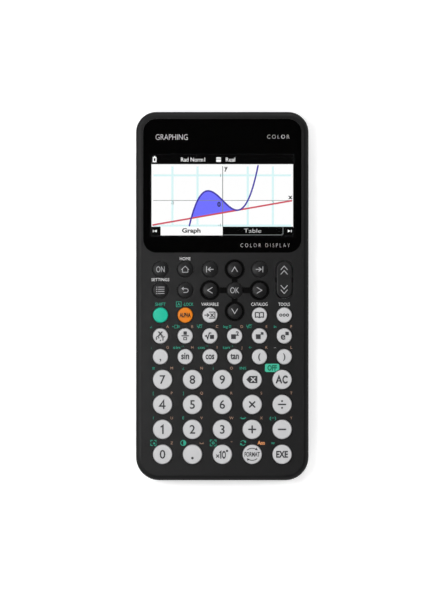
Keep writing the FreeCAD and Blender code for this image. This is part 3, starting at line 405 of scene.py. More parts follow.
def stroke(points, width, closed=False):
    """A line of even width through points, its corners mitred and its ends round."""
    path = [Vector(point) for point in points]
    count, half = len(path), width / 2
    last = count if closed else count - 1
    leave = [(path[(place + 1) % count] - path[place]).normalized() for place in range(last)]
    sides = []
    for place in range(count):
        before = leave[place - 1] if closed or place else leave[0]
        after = leave[place] if place < last else leave[-1]
        along = before + after
        along = along.normalized() if along.length > 0.01 else after
        across = Vector((-along.y, along.x))
        reach = half / max(MITRE_LIMIT, across.dot(Vector((-after.y, after.x))))
        sides.append((path[place] + across * reach, path[place] - across * reach))
    corners = [tuple(corner) for pair in sides for corner in pair]
    faces = []
    for place in range(last):
        following = (place + 1) % count
        faces.append((2 * place, 2 * place + 1, 2 * following + 1, 2 * following))
    if not closed:
        for end, heading, begin, finish in ((path[0], -leave[0], 0, 1),
                                            (path[-1], leave[-1], 2 * count - 1, 2 * count - 2)):
            turn = math.degrees(math.atan2(heading.y, heading.x))
            cap = arc(end.x, end.y, half, turn - 90, turn + 90, 8)[1:-1]
            faces.append((begin, *range(len(corners), len(corners) + len(cap)), finish))
            corners += cap
    return [(corners, faces)]


def outlined(across, along, width, height, line):
    """The outline of a rectangle about a centre, drawn with a line."""
    return stroke(corners_of(across, along, width, height), line, closed=True)


def moved(art, across=0.0, along=0.0, scale=1.0, turn=0.0, stretch=1.0):
    """Artwork scaled, stretched across, turned by degrees and shifted."""
    cosine, sine = math.cos(math.radians(turn)), math.sin(math.radians(turn))
    changed = []
    for points, faces in art:
        placed = []
        for point_x, point_y in points:
            scaled_x, scaled_y = point_x * scale * stretch, point_y * scale
            placed.append((scaled_x * cosine - scaled_y * sine + across,
                           scaled_x * sine + scaled_y * cosine + along))
        changed.append((placed, faces))
    return changed


def joined(art):
    """Patches that share edges, as one patch."""
    points, faces = [], []
    for patch_points, patch_faces in art:
        first = len(points)
        points += patch_points
        faces += [tuple(corner + first for corner in face) for face in patch_faces]
    return [(points, faces)]


def flat_text(text, weight, spacing):
    """The filled outlines of a line of text, as the built-in font draws it at size 1."""
    curve = bpy.data.curves.new("text", "FONT")
    curve.body = text
    curve.offset = weight
    curve.space_character = spacing
    curve.resolution_u = 3
    holder = new_object("text", curve)
    mesh = bpy.data.meshes.new_from_object(holder.evaluated_get(bpy.context.evaluated_depsgraph_get()))
    points = [(vertex.co.x, vertex.co.y) for vertex in mesh.vertices]
    faces = [tuple(polygon.vertices) for polygon in mesh.polygons]
    bpy.data.objects.remove(holder)
    bpy.data.curves.remove(curve)
    bpy.data.meshes.remove(mesh)
    return points, faces


CAPITAL = max(point[1] for point in flat_text("H", 0.0, 1.0)[0])


def word(text, height, across=0.0, along=0.0, width=None, weight=0.0, spacing=1.0):
    """A word about a place, with capitals of a given height, stretched to a width if one is given."""
    points, faces = flat_text(text, weight, spacing)
    scale = height / CAPITAL
    low, high = min(point[0] for point in points), max(point[0] for point in points)
    stretch = width / ((high - low) * scale) if width else 1.0
    centre = (low + high) / 2
    centred = [((point[0] - centre) * scale * stretch + across, point[1] * scale - height / 2 + along)
               for point in points]
    return [(centred, faces)]


def finished(mesh, name, body, material):
    """A piece with its mesh's normals outwards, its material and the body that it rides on."""
    bmesh.ops.recalc_face_normals(mesh, faces=mesh.faces)
    data = bpy.data.meshes.new(name)
    mesh.to_mesh(data)
    mesh.free()
    data.materials.append(material)
    piece = new_object(name, data)
    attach(piece, body)
    return piece


PATCH_LIFT = 0.0015
PATCH_LEVELS = 8


def cut_across(mesh, spacing):
    """Faces divided by a grid of lines, so that they can follow a dome."""
    for normal in (Vector((1, 0, 0)), Vector((0, 1, 0))):
        reaches = [vertex.co.dot(normal) for vertex in mesh.verts]
        place, end = min(reaches) + spacing, max(reaches)
        while place < end:
            geometry = mesh.verts[:] + mesh.edges[:] + mesh.faces[:]
            bmesh.ops.bisect_plane(mesh, geom=geometry, plane_co=normal * place, plane_no=normal)
            place += spacing


def printed(name, art, body, material, height, across=0.0, along=0.0, cut=None, *, lift, thick):
    """Artwork as a thin layer on a surface, moved to its place.

    height is a level in metres or a function of the place. Until the layer is lifted, the z of a point holds
    its patch's number, and patches that may overlap are lifted to levels of their own."""
    mesh = bmesh.new()
    for number, (points, faces) in enumerate(art):
        start = [mesh.verts.new((point[0] * MM + across, point[1] * MM + along, number)) for point in points]
        for face in faces:
            if len(set(face)) > 2:
                mesh.faces.new([start[corner] for corner in face])
    bmesh.ops.dissolve_degenerate(mesh, dist=1e-7, edges=mesh.edges)
    if cut:
        cut_across(mesh, cut * MM)
    for vertex in mesh.verts:
        patch = round(vertex.co.z)
        level = height(vertex.co.x, vertex.co.y) if callable(height) else height
        vertex.co.z = level + (lift + patch % PATCH_LEVELS * PATCH_LIFT) * MM
    bmesh.ops.recalc_face_normals(mesh, faces=mesh.faces)
    for face in mesh.faces:
        if face.normal.z < 0:
            face.normal_flip()
    extruded = bmesh.ops.extrude_face_region(mesh, geom=mesh.faces[:], use_keep_orig=True)
    for item in extruded["geom"]:
        if isinstance(item, bmesh.types.BMVert):
            item.co.z += thick * MM
    return finished(mesh, name, body, material)


RAY_ROOM = 10 * MM


def over(node):
    """The height of a node's top at a place, as a function."""
    mesh = NODES[node].data
    tree = BVHTree.FromPolygons([vertex.co for vertex in mesh.vertices],
                                [tuple(polygon.vertices) for polygon in mesh.polygons])
    top = BOXES[node][1].z

    def height(across, along):
        hit = tree.ray_cast(Vector((across, along, top + RAY_ROOM)), Vector((0, 0, -1)))[0]
        return hit.z if hit else top

    return height


# ------------------------------ key legends, each about its key's middle

LINE = 0.42
FINE = 0.30
THIN = 0.36
BOLD = 0.56
SIGN_LINE = 0.8
DELETE_HUB = 0.5
LOWER_RISE = 0.45
DIGIT_WEIGHT = 0.014
LETTER_WEIGHT = 0.03


def chevron(size, turn, width=THIN):
    """An open arrow head that points up, turned."""
    art = stroke([(-size * 0.87, -size * 0.72), (0, size * 0.72), (size * 0.87, -size * 0.72)], width)
    return moved(art, turn=turn)


def arrow(start, end, head, width):
    """A line with an open arrow head at its end."""
    heading = Vector(end) - Vector(start)
    turn = math.degrees(math.atan2(heading.y, heading.x)) - 90
    tip = [(-head * 0.8, -head), (0, 0), (head * 0.8, -head)]
    return stroke([start, end], width) + moved(stroke(tip, width), end[0], end[1], turn=turn)


def house():
    roof = stroke([(-1.85, -0.1), (0, 1.6), (1.85, -0.1)], FINE)
    walls = stroke([(-1.4, 0.1), (-1.4, -1.5), (1.4, -1.5), (1.4, 0.1)], FINE)
    return roof + walls


def line_edge(side):
    """An arrow that stops at a bar, on the left (-1) or the right (1)."""
    stop = stroke([(side * 1.75, -1.4), (side * 1.75, 1.4)], THIN)
    return stop + arrow((side * -1.75, 0), (side * 0.95, 0), 1.2, THIN)


def menu_list():
    rows = []
    for along in (1.65, 0.55, -0.55, -1.65):
        rows += stroke([(-1.1, along), (1.95, along)], FINE) + disc(-1.85, along, 0.25)
    return rows


def turn_back():
    bend = arc(0.7, -0.15, 1.15, 90, -90, 10)
    line = stroke([(-1.7, 1.0)] + bend + [(-0.9, -1.3)], LINE)
    art = line + moved(stroke([(-0.8, -0.9), (0, 0), (0.8, -0.9)], LINE), -1.9, 1.0, turn=90)
    return moved(art, scale=0.84)


def double_chevron(side):
    head = stroke([(-1.65, -0.95 * side), (0, 0.95 * side), (1.65, -0.95 * side)], THIN)
    return moved(head, 0, 1.15) + moved(head, 0, -1.15)


def variable():
    box = stroke([(-0.3, 1.55), (2.6, 1.55), (2.6, -1.55), (-0.3, -1.55)], 0.5)
    return box + word("x", 2.5, 1.15, 0.35, weight=0.03) + arrow((-2.7, 0), (-0.5, 0), 0.9, 0.5)


def open_book():
    pages = []
    for side in (-1, 1):
        page = [(0, -1.3), (0.9, -0.95), (2.1, -1.1), (2.1, 1.25), (0.9, 1.4), (0, 1.05)]
        pages += stroke([(side * across, along) for across, along in page], BOLD)
    return pages + stroke([(0, -1.3), (0, 1.05)], BOLD)


def three_rings():
    return [patch for place in (-1, 0, 1) for patch in ring(place * 1.75, 0, 0.32, 0.82)]


def square(across, along, size):
    return block(across, along, size, size)


def stacked_letters():
    return word("x", 3.1, 0, 1.6, weight=0.035) + word("\u03b8,T", 2.0, 0, -1.35, width=4.8, weight=0.035)


def fraction():
    """A filled square over a bar, and an open one under it."""
    bar_between = stroke([(-1.7, 0.05), (1.7, 0.05)], BOLD)
    return square(0, 1.45, 1.75) + bar_between + outlined(0, -1.425, 1.5, 1.15, LINE)


def root():
    return (stroke([(-2.3, -0.1), (-1.75, 0.2), (-1.15, -1.5), (-0.3, 1.5), (0.5, 1.5)], 0.64)
            + square(1.05, -0.5, 2.1))


def raised(base, top):
    """A base with something above its right shoulder."""
    return moved(base, -0.6, -0.4) + moved(top, 1.4, 1.25)


def delete_tag():
    """A filled tag that points left; a light cross goes over it."""
    return shape([(-3.0, 0), (-1.35, -1.85), (2.7, -1.85), (2.7, 1.85), (-1.35, 1.85)])


def delete_cross():
    arms = []
    for turn in (45, -45):
        arms += moved(stroke([(-1.4, 0), (1.4, 0)], 0.54), DELETE_HUB, 0, turn=turn)
    return arms


def bar(half, turn=0):
    """A straight bar for the signs of the number block."""
    return moved(stroke([(-half, 0), (half, 0)], SIGN_LINE), turn=turn)


def divide_sign():
    return bar(1.8) + disc(0, 1.75, 0.52) + disc(0, -1.75, 0.52)


def all_clear():
    """Two capitals drawn with strokes."""
    first = stroke([(-1.25, -1.65), (0, 1.65), (1.25, -1.65)], 0.82)
    first += stroke([(-0.8, -0.7), (0.8, -0.7)], 0.6)
    second = stroke(arc(0, 0, 1.0, 48, 312, 20), 0.55)
    return moved(first, -1.6, 0) + moved(second, 1.75, 0, scale=1.7, stretch=1.25 / 1.7)


def times_ten():
    """A small multiplication sign, a ten and a square for the exponent."""
    times = stroke([(-0.65, -0.65), (0.65, 0.65)], 0.5) + stroke([(-0.65, 0.65), (0.65, -0.65)], 0.5)
    one = stroke([(-1.3, 1.0), (-0.75, 1.45), (-0.75, -1.95)], 0.66)
    nought = stroke(circle(0, 0, 1.0), 0.58, closed=True)
    nought = moved(nought, 0.85, -0.25, scale=1.6, stretch=0.5)
    return moved(times, -2.4, -0.9) + one + nought + square(2.45, 1.75, 1.05)


def format_word():
    """A word between two bowed arrows that go round it."""
    bow = arc(0, -0.9, 4.0, 128, 56, 10)
    head = moved(shape([(-0.7, -0.5), (0.75, 0.0), (-0.5, 0.95)]), bow[-1][0], bow[-1][1], turn=-30)
    upper = stroke(bow, LINE) + head
    return word("FORMAT", 2.2, 0, 0, width=7.9, weight=0.03) + upper + moved(upper, turn=180)


KEY_ART = {
    "key_on": word("ON", 3.0, width=4.3, weight=-0.006),
    "key_home": house(),
    "key_line_start": line_edge(-1),
    "key_up": chevron(1.7, 0),
    "key_line_end": line_edge(1),
    "key_settings": menu_list(),
    "key_back": turn_back(),
    "key_left": chevron(1.7, 90),
    "key_ok": word("OK", 3.0, width=4.5, weight=-0.006),
    "key_right": chevron(1.7, -90),
    "key_down": chevron(1.7, 180),
    "key_alpha": word("ALPHA", 2.05, width=5.8, weight=0.055),
    "key_variable": variable(),
    "key_catalog": open_book(),
    "key_tools": three_rings(),
    "key_x_variable": stacked_letters(),
    "key_fraction": fraction(),
    "key_square_root": root(),
    "key_square": raised(square(0, 0, 2.5), word("2", 2.1, weight=0.04)),
    "key_power": raised(square(0, 0, 2.5), square(0, 0, 1.35)),
    "key_exponential": raised(word("e", 3.6, 0, 0.35, weight=0.025), square(0.1, 0, 1.8)),
    "key_comma": word(",", 4.6, 0, 0.45),
    "key_sin": word("sin", 3.3, 0, LOWER_RISE, width=4.1, weight=LETTER_WEIGHT),
    "key_cos": word("cos", 3.3, 0, LOWER_RISE, width=4.5, weight=LETTER_WEIGHT),
    "key_tan": word("tan", 3.3, 0, LOWER_RISE, width=4.4, weight=LETTER_WEIGHT),
    "key_left_bracket": word("(", 2.7, 0, 0.2, weight=LETTER_WEIGHT),
    "key_right_bracket": word(")", 2.7, 0, 0.2, weight=LETTER_WEIGHT),
    "key_delete": delete_tag(),
    "key_all_clear": all_clear(),
    "key_multiply": bar(1.85, 45) + bar(1.85, -45),
    "key_divide": divide_sign(),
    "key_plus": bar(1.75) + bar(1.75, 90),
    "key_minus": bar(1.8),
    "key_decimal_point": disc(0, -1.95, 0.68),
    "key_exponent": times_ten(),
    "key_format": format_word(),
    "key_execute": word("EXE", 3.2, width=6.1, weight=0.04),
}
KEY_ART |= {"key_%d" % digit: word(str(digit), 4.3, weight=DIGIT_WEIGHT) for digit in range(10)}
KEY_ART["key_4"] = stroke([(0.6, -2.05), (0.6, 2.05), (-1.45, -0.85), (1.3, -0.85)], 0.74)
KEY_ART["key_1"] = stroke([(-0.75, 1.3), (0.2, 2.0), (0.2, -2.05)], 0.78)
INK_ON = {"dark_key": PALE_INK, "orange_key": BROWN_INK}
KEY_CUT = 0.6
KEY_LIFT = 0.003
KEY_THICK = 0.008
ROCKER_INSET = 4.6


def on_key(name, node, art, colour, level=0):
    """A layer that follows the crown of a key and rides on it; level 1 lies over level 0."""
    centre = middle(node)
    printed(name, art, BODY_OF[node], colour, over(node), centre.x, centre.y,
            cut=KEY_CUT, lift=KEY_LIFT + 2 * KEY_THICK * level, thick=KEY_THICK)


def key_legends():
    """Each key's legend is a piece of its own."""
    for node, art in KEY_ART.items():
        on_key("legend_" + node[4:], node, art, INK_ON.get(SLOT_OF[node], DARK_INK))
    on_key("legend_delete_cross", "key_delete", delete_cross(), KEY_INK, 1)


def rocker_legends():
    """Double arrow heads near the two ends of the page rocker."""
    low, high = BOXES["key_page_rocker"]
    reach = (high.y - low.y) / 2 / MM - ROCKER_INSET
    art = moved(double_chevron(1), 0, reach) + moved(double_chevron(-1), 0, -reach)
    on_key("legend_page_rocker", "key_page_rocker", art, PALE_INK)


# ------------------------------ key mat

DOME_FOOT = 3.2 * MM
DOME_SKIN = 0.5 * MM
DOME_SLOPE = math.tan(math.radians(28))
SHEET_THICK = 0.6 * MM
PILLAR_ROOM = 2.7 * MM
TURN_STEPS = 24


def perforated(width, depth, holes):
    """Artwork: a rectangle about a centre, with round holes given as place and radius."""
    mesh = bmesh.new()
    outlines = [corners_of(0, 0, width, depth)]
    outlines += [circle(across, along, radius) for across, along, radius in holes]
    for outline in outlines:
        loop = [mesh.verts.new((across, along, 0)) for across, along in outline]
        for place, vertex in enumerate(loop):
            mesh.edges.new((vertex, loop[place - 1]))
    bmesh.ops.triangle_fill(mesh, edges=mesh.edges[:], use_beauty=True, normal=(0, 0, 1))
    mesh.verts.index_update()
    points = [(vertex.co.x, vertex.co.y) for vertex in mesh.verts]
    faces = [tuple(vertex.index for vertex in face.verts) for face in mesh.faces]
    mesh.free()
    return [(points, faces)]


def turned(name, profile, across, along, body, material):
    """A closed outline of (radius, height) turned about an upright line; two neighbours lie on the line."""
    mesh = bmesh.new()
    rings = []
    for radius, height in profile:
        if radius:
            points = circle(across, along, radius, TURN_STEPS)
            rings.append([mesh.verts.new((*point, height)) for point in points])
        else:
            rings.append([mesh.verts.new((across, along, height))] * TURN_STEPS)
    for place, ring_points in enumerate(rings):
        following = (place + 1) % len(rings)
        if profile[place][0] == 0 and profile[following][0] == 0:
            continue
        for step in range(TURN_STEPS):
            after = (step + 1) % TURN_STEPS
            corners = (ring_points[step], ring_points[after], rings[following][after], rings[following][step])
            mesh.faces.new(tuple(dict.fromkeys(corners)))
    return finished(mesh, name, body, material)


def key_domes():
    """Name, joint and place of each dome: one under each key, and two under the rocker."""
    spots = []
    pitch = middle("key_home").y - middle("key_back").y
    for node in KEYS:
        centre = middle(node)
        if node == "key_page_rocker":
            spots.append(("dome_page_up", "page_rocker_tilt", centre.x, centre.y + pitch / 2))
            spots.append(("dome_page_down", "page_rocker_tilt", centre.x, centre.y - pitch / 2))
        else:
            spots.append(("dome_" + node[4:], "press_" + node[4:], centre.x, centre.y))
    return spots


def pillars():
    """Places of the two screw pillars that pass through the mat, each in the middle of four number keys."""
    above_row, below_row = middle("key_1").y, middle("key_0").y
    return [((middle(left).x + middle(right).x) / 2, (above_row + below_row) / 2)
            for left, right in (("key_1", "key_2"), ("key_plus", "key_minus"))]


def add_key_mat():
    """The silicone sheet, and a hollow dome in it under each key."""
    low, high = BOXES["key_mat"]
    centre = middle("key_mat")
    silicone = PLASTICS["key_mat"]
    sheet_top = low.z + SHEET_THICK
    spots = key_domes()
    openings = [(across, along, DOME_FOOT) for _, _, across, along in spots]
    openings += [(across, along, PILLAR_ROOM) for across, along in pillars()]
    holes = [((across - centre.x) / MM, (along - centre.y) / MM, radius / MM)
             for across, along, radius in openings]
    sheet_art = perforated((high.x - low.x) / MM, (high.y - low.y) / MM, holes)
    sheet = printed("key_mat_sheet", sheet_art, CASE, silicone, low.z, centre.x, centre.y,
                    lift=0.0, thick=SHEET_THICK / MM)
    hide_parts("key_mat")
    rise = high.z - sheet_top
    ceiling = high.z - DOME_SKIN
    hollow_foot = DOME_FOOT - DOME_SKIN
    profile = [(0.0, high.z), (DOME_FOOT - rise * DOME_SLOPE, high.z), (DOME_FOOT, sheet_top),
               (DOME_FOOT, low.z), (hollow_foot, low.z),
               (hollow_foot - (ceiling - low.z) * DOME_SLOPE, ceiling), (0.0, ceiling)]
    for name, joint, across, along in spots:
        dome = turned(name, profile, across, along, CASE, silicone)
        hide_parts("key_mat")
        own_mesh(dome)


# ------------------------------ legends on the face

FACE_LIFT = 0.004
FACE_THICK = 0.012
SMALL = 1.35
MARK_REACH = 4.7
MARK_RISE = 0.95
LETTER_INSET = 0.17
FLANGE_CLEAR = 0.2 * MM
LEFT, RIGHT = -1, 1


def cap_radius(node):
    """How far a key's cap reaches from its middle, in millimetres."""
    across = [vertex.co.x for vertex in NODES[node].data.vertices if vertex.co.z > FACE_Z - FLANGE_CLEAR]
    return (max(across) - min(across)) / 2 / MM


CAP_RADIUS = {node: cap_radius(node) for node in KEYS}


def on_face(name, art, colour, lift=FACE_LIFT):
    """A printed layer on the flat face of the front cover."""
    printed(name, art, CASE, colour, FACE_Z, lift=lift, thick=FACE_THICK)


def beside(node, art, side, up=0.0, out=0.0):
    """Artwork above a key, near its left or right shoulder."""
    radius = CAP_RADIUS[node]
    centre = middle(node) / MM
    reach = radius - LETTER_INSET if side == RIGHT else -MARK_REACH
    return moved(art, centre.x + reach + out, centre.y + radius + MARK_RISE + up)


def title(node, text, height, width, rise):
    """A word above a key."""
    centre = middle(node) / MM
    return word(text, height, centre.x, centre.y + CAP_RADIUS[node] + rise, width=width)


TITLES = {
    "key_home": ("HOME", 1.5, 5.5, 1.5),
    "key_settings": ("SETTINGS", 1.5, 9.3, 1.5),
    "key_variable": ("VARIABLE", 1.6, 8.9, 1.75),
    "key_catalog": ("CATALOG", 1.6, 8.4, 1.75),
    "key_tools": ("TOOLS", 1.6, 5.9, 1.75),
}
LETTERS = dict(zip(
    ["key_x_variable", "key_fraction", "key_square_root", "key_square", "key_power", "key_exponential",
     "key_comma", "key_sin", "key_cos", "key_tan", "key_left_bracket", "key_right_bracket",
     "key_7", "key_8", "key_9", "key_4", "key_5", "key_6", "key_multiply", "key_divide",
     "key_1", "key_2", "key_3", "key_plus", "key_minus", "key_0"],
    "ABCDEFGHIJKLMNOPQRSTUVWXYZ"))


def tiny(text, height=SMALL, width=None):
    return word(text, height, width=width)


def inverse(name):
    """The name of a function with a raised minus one."""
    return moved(tiny(name, 1.5, 3.6), 0.3) + word("\u22121", 0.8, 3.1, 0.65, width=1.2)


def open_square(size):
    return outlined(0, 0, size, size, 0.18)


def half_disc():
    """A contrast mark: a ring with one half filled."""
    return ring(0, 0, 1.15, 1.5) + shape(arc(0, 0, 1.15, -90, 90, 14))


def corner_marks(size):
    """The four corners of a frame."""
    marks = []
    for turn in (0, 90, 180, 270):
        marks += moved(stroke([(size * 0.35, size), (size, size), (size, size * 0.35)], 0.28), turn=turn)
    return marks


def round_arrows():
    """Two bowed arrows that follow each other."""
    bow = arc(0, 0, 1.25, 150, 25, 10)
    one = stroke(bow, 0.26) + moved(chevron(0.5, -150, 0.26), *bow[-1])
    return one + moved(one, turn=180)


def radical(text, index=""):
    """A root sign over a letter, with an index if there is one."""
    sign = [(-1.9, 0.0), (-1.6, 0.15), (-1.25, -0.75), (-0.75, 0.95), (0.5 + 0.2 * len(text), 0.95)]
    art = stroke(sign, 0.22) + moved(tiny(text, 1.1), -0.1, -0.05)
    return art + (word(index, 0.7, -1.9, 0.75) if index else [])


GREEN_MARKS = {
    "key_x_variable": tiny("\u2220"),
    "key_fraction": open_square(1.5) + moved(open_square(0.7), 1.3, 0) + disc(-1.6, 0, 0.25),
    "key_square_root": radical("\u25a1", "3"),
    "key_square": tiny("log") + moved(open_square(0.9), 2.3, 0.1),
    "key_power": radical("\u25a1", "x"),
    "key_exponential": tiny("ln"),
    "key_comma": tiny(";"),
    "key_sin": inverse("sin"),
    "key_cos": inverse("cos"),
    "key_tan": inverse("tan"),
    "key_left_bracket": tiny("\u2190"),
    "key_7": tiny("\u03c0", 1.6),
    "key_8": tiny("\u2220"),
    "key_9": tiny("i", 1.5),
    "key_delete": tiny("INS", width=3.3),
    "key_4": tiny("["),
    "key_5": tiny("]"),
    "key_1": tiny("f"),
    "key_2": tiny("E"),
    "key_plus": tiny("\u2194", width=3.6),
    "key_minus": tiny("(\u2212)", 1.5, 3.2),
    "key_0": corner_marks(1.35) + disc(0.35, -0.25, 0.5),
    "key_decimal_point": half_disc(),
    "key_exponent": corner_marks(1.5) + ring(0, 0, 0.35, 0.7),
    "key_format": round_arrows(),
    "key_execute": tiny("\u2248", 1.6, 1.6),
}


def face_legends():
    """The printing round the keys: one piece for each ink."""
    white = [patch for node, words in TITLES.items() for patch in title(node, *words)]
    white += beside("key_right_bracket", tiny("\u2013"), LEFT)
    green = title("key_shift", "SHIFT", 1.6, 5.3, 1.75)
    green += moved(title("key_alpha", "-LOCK", 1.6, 5.2, 1.75), 1.6, 0)
    centre = middle("key_alpha") / MM
    framed_letter = outlined(0, 0, 2.5, 2.6, 0.22) + tiny("A", 1.6)
    green += moved(framed_letter, centre.x - 3.3, centre.y + CAP_RADIUS["key_alpha"] + 1.75)
    for node, art in GREEN_MARKS.items():
        green += beside(node, art, LEFT)
    letters = []
    for node, text in LETTERS.items():
        letters += beside(node, tiny(text), RIGHT)
    space_mark = stroke([(-0.8, 0.2), (-0.8, -0.4), (0.8, -0.4), (0.8, 0.2)], 0.22)
    letters += beside("key_decimal_point", space_mark, RIGHT)
    letters += beside("key_exponent", tiny("\u201d", 1.6), RIGHT)
    bright = beside("key_format", word("Ans", 1.9, width=3.8, weight=0.025), RIGHT, 0.1, -0.1)
    on_face("face_print_white", white, WHITE_INK)
    on_face("face_print_green", green, GREEN_INK)
    on_face("face_print_letters", letters, LETTER_INK)
    on_face("face_print_orange", bright, ORANGE_INK)


EDGE_STEP = 0.2


def kept_clear(outline, centre, radius):
    """A filled outline that goes round a circle that it would cross."""
    divided = []
    for place, start in enumerate(outline):
        end = outline[(place + 1) % len(outline)]
        steps = max(1, round(math.dist(start, end) / EDGE_STEP))
        divided += [Vector(start).lerp(Vector(end), step / steps) for step in range(steps)]
    hub = Vector(centre)
    return shape([tuple(point if (point - hub).length > radius else hub + (point - hub).normalized() * radius)
                  for point in divided])


KEY_ROOM = 0.3
BADGE_LEFT, BADGE_UP = 5.1, 6.0
BADGE_WIDE, BADGE_TALL, BADGE_CORNER = 7.4, 4.2, 0.9


def off_badge():
    """The filled badge above a key, with a dark word on it. The key cuts its corner."""
    centre = middle("key_all_clear") / MM
    across, along = centre.x - BADGE_LEFT, centre.y + BADGE_UP
    outline = rounded(across, along, BADGE_WIDE, BADGE_TALL, BADGE_CORNER, 6)
    badge = kept_clear(outline, (centre.x, centre.y), CAP_RADIUS["key_all_clear"] + KEY_ROOM)
    on_face("off_badge", badge, BADGE_INK)
    text = word("OFF", 2.6, across, along, width=4.9, weight=0.05)
    on_face("off_badge_word", text, BADGE_DARK_INK, 2 * FACE_LIFT + FACE_THICK)


# ------------------------------ the arrow recess and the display window

RECESS_DEEP = 0.8 * MM
TRACK_OUT = 1.36
CHANNEL_WIDE = 2.94


def recess_inlay():
    """The gloss black inlay in the recess: a ring round each arrow key and a channel to the middle."""
    art = []
    hub = middle("key_ok") / MM
    for node in ("key_up", "key_down", "key_left", "key_right"):
        centre = middle(node) / MM
        inner = CAP_RADIUS[node] + KEY_ROOM
        art += ring(centre.x, centre.y, inner, CAP_RADIUS[node] + TRACK_OUT)
        toward = (hub - centre).to_2d()
        reach = max(abs(toward.x), abs(toward.y))
        heading = toward / reach
        near, far = inner + 0.05, reach - CAP_RADIUS["key_ok"] - KEY_ROOM
        size = (far - near, CHANNEL_WIDE) if abs(heading.x) > 0.5 else (CHANNEL_WIDE, far - near)
        art += block(centre.x + heading.x * (near + far) / 2, centre.y + heading.y * (near + far) / 2, *size)
    floor_z = FACE_Z - RECESS_DEEP
    printed("arrow_recess_inlay", art, CASE, INLAY_INK, floor_z, lift=0.004, thick=0.02)


def framed(across, along, width, height, corner, hole):
    """A rounded rectangle with a rectangular opening, as patches that meet at the opening's corners."""
    outline = rounded(across, along, width, height, corner, 12)
    count = len(outline)
    quarter = count // 4
    faces = []
    for place in range(4):
        # round corner, then the straight run to the next corner
        begin, finish = place * quarter, (place + 1) * quarter
        faces.append((*range(begin, finish), count + place))
        faces.append((finish - 1, finish % count, count + (place + 1) % 4, count + place))
    return [(outline + hole, faces)]


LCD_HALF = 36.5
LCD_LOW, LCD_HIGH = 31.3, 73.0
LCD_MIDDLE, LCD_TALL = (LCD_LOW + LCD_HIGH) / 2, LCD_HIGH - LCD_LOW
STATUS_TALL, TABS_TALL = 5.0, 4.5
PLOT_LOW, PLOT_HIGH = LCD_LOW + TABS_TALL, LCD_HIGH - STATUS_TALL
PLOT_MIDDLE, PLOT_TALL = (PLOT_LOW + PLOT_HIGH) / 2, PLOT_HIGH - PLOT_LOW
UNIT = 12.95
ORIGIN_X, ORIGIN_Y = 0.2, 49.3
AREA_START, AREA_END = -1.253, 0.627
LINE_START, LINE_END = -2.77, 2.74
HALVINGS = 30
SCREEN_THICK = 0.004
SCREEN_STEP = 0.009
LCD_GAP = 0.5
MASK_GAP, MASK_CORNER = 0.15, 6.6
SILVER_LIFT = 0.025


def behind_pane(name, art, colour, lift=SILVER_LIFT):
    """A layer printed behind the display window."""
    printed(name, art, CASE, colour, WINDOW_LOW.z, lift=lift, thick=0.01)


def window_print():
    """The black mask with its opening for the screen, the dark line round it, and the silver words."""
    centre = middle("display_window") / MM
    size = (WINDOW_HIGH - WINDOW_LOW) / MM
    left, right = -LCD_HALF - LCD_GAP, LCD_HALF + LCD_GAP
    near, far = LCD_LOW - LCD_GAP, LCD_HIGH + LCD_GAP
    hole = [(right, far), (left, far), (left, near), (right, near)]
    mask = framed(centre.x, centre.y, size.x - 2 * MASK_GAP, size.y - 2 * MASK_GAP, MASK_CORNER, hole)
    behind_pane("window_mask", mask, BLACK_INK, 0.01)
    rim = outlined(0, LCD_MIDDLE - 0.25, 2 * LCD_HALF + 2.2, LCD_TALL + 1.3, 0.3)
    behind_pane("window_rim", rim, RIM_INK)
    name = word("GRAPHING", 2.9, -26.1, 82.0, width=16.6, weight=-0.004)
    behind_pane("window_wordmark", name, SILVER_INK)
    captions = word("COLOR", 2.0, 28.9, 82.2, width=11.6, weight=-0.004, spacing=1.4)
    captions += word("COLOR DISPLAY", 2.0, 22.1, 26.2, width=25.4, weight=-0.02, spacing=1.6)
    behind_pane("window_captions", captions, SILVER_INK)


def cubic(value):
    return value ** 3 - value


def cubic_reaches(level, near, far):
    """Where the curve reaches a level, between two places on one of its outer branches."""
    for _ in range(HALVINGS):
        half = (near + far) / 2
        if abs(cubic(half)) < abs(level):
            near = half
        else:
            far = half
    return near


def straight(value):
    return 0.175 * value - 0.49


def plotted(function, start, stop, steps):
    """Points along the graph of a function, in millimetres."""
    values = [start + (stop - start) * step / steps for step in range(steps + 1)]
    return [(ORIGIN_X + value * UNIT, ORIGIN_Y + function(value) * UNIT) for value in values]


def on_screen(name, art, colour, level):
    """A layer that the display shows, over the ones of lower level."""
    printed(name, art, CASE, colour, BOXES["display_module"][1].z,
            lift=SCREEN_THICK + SCREEN_STEP * level, thick=SCREEN_THICK)


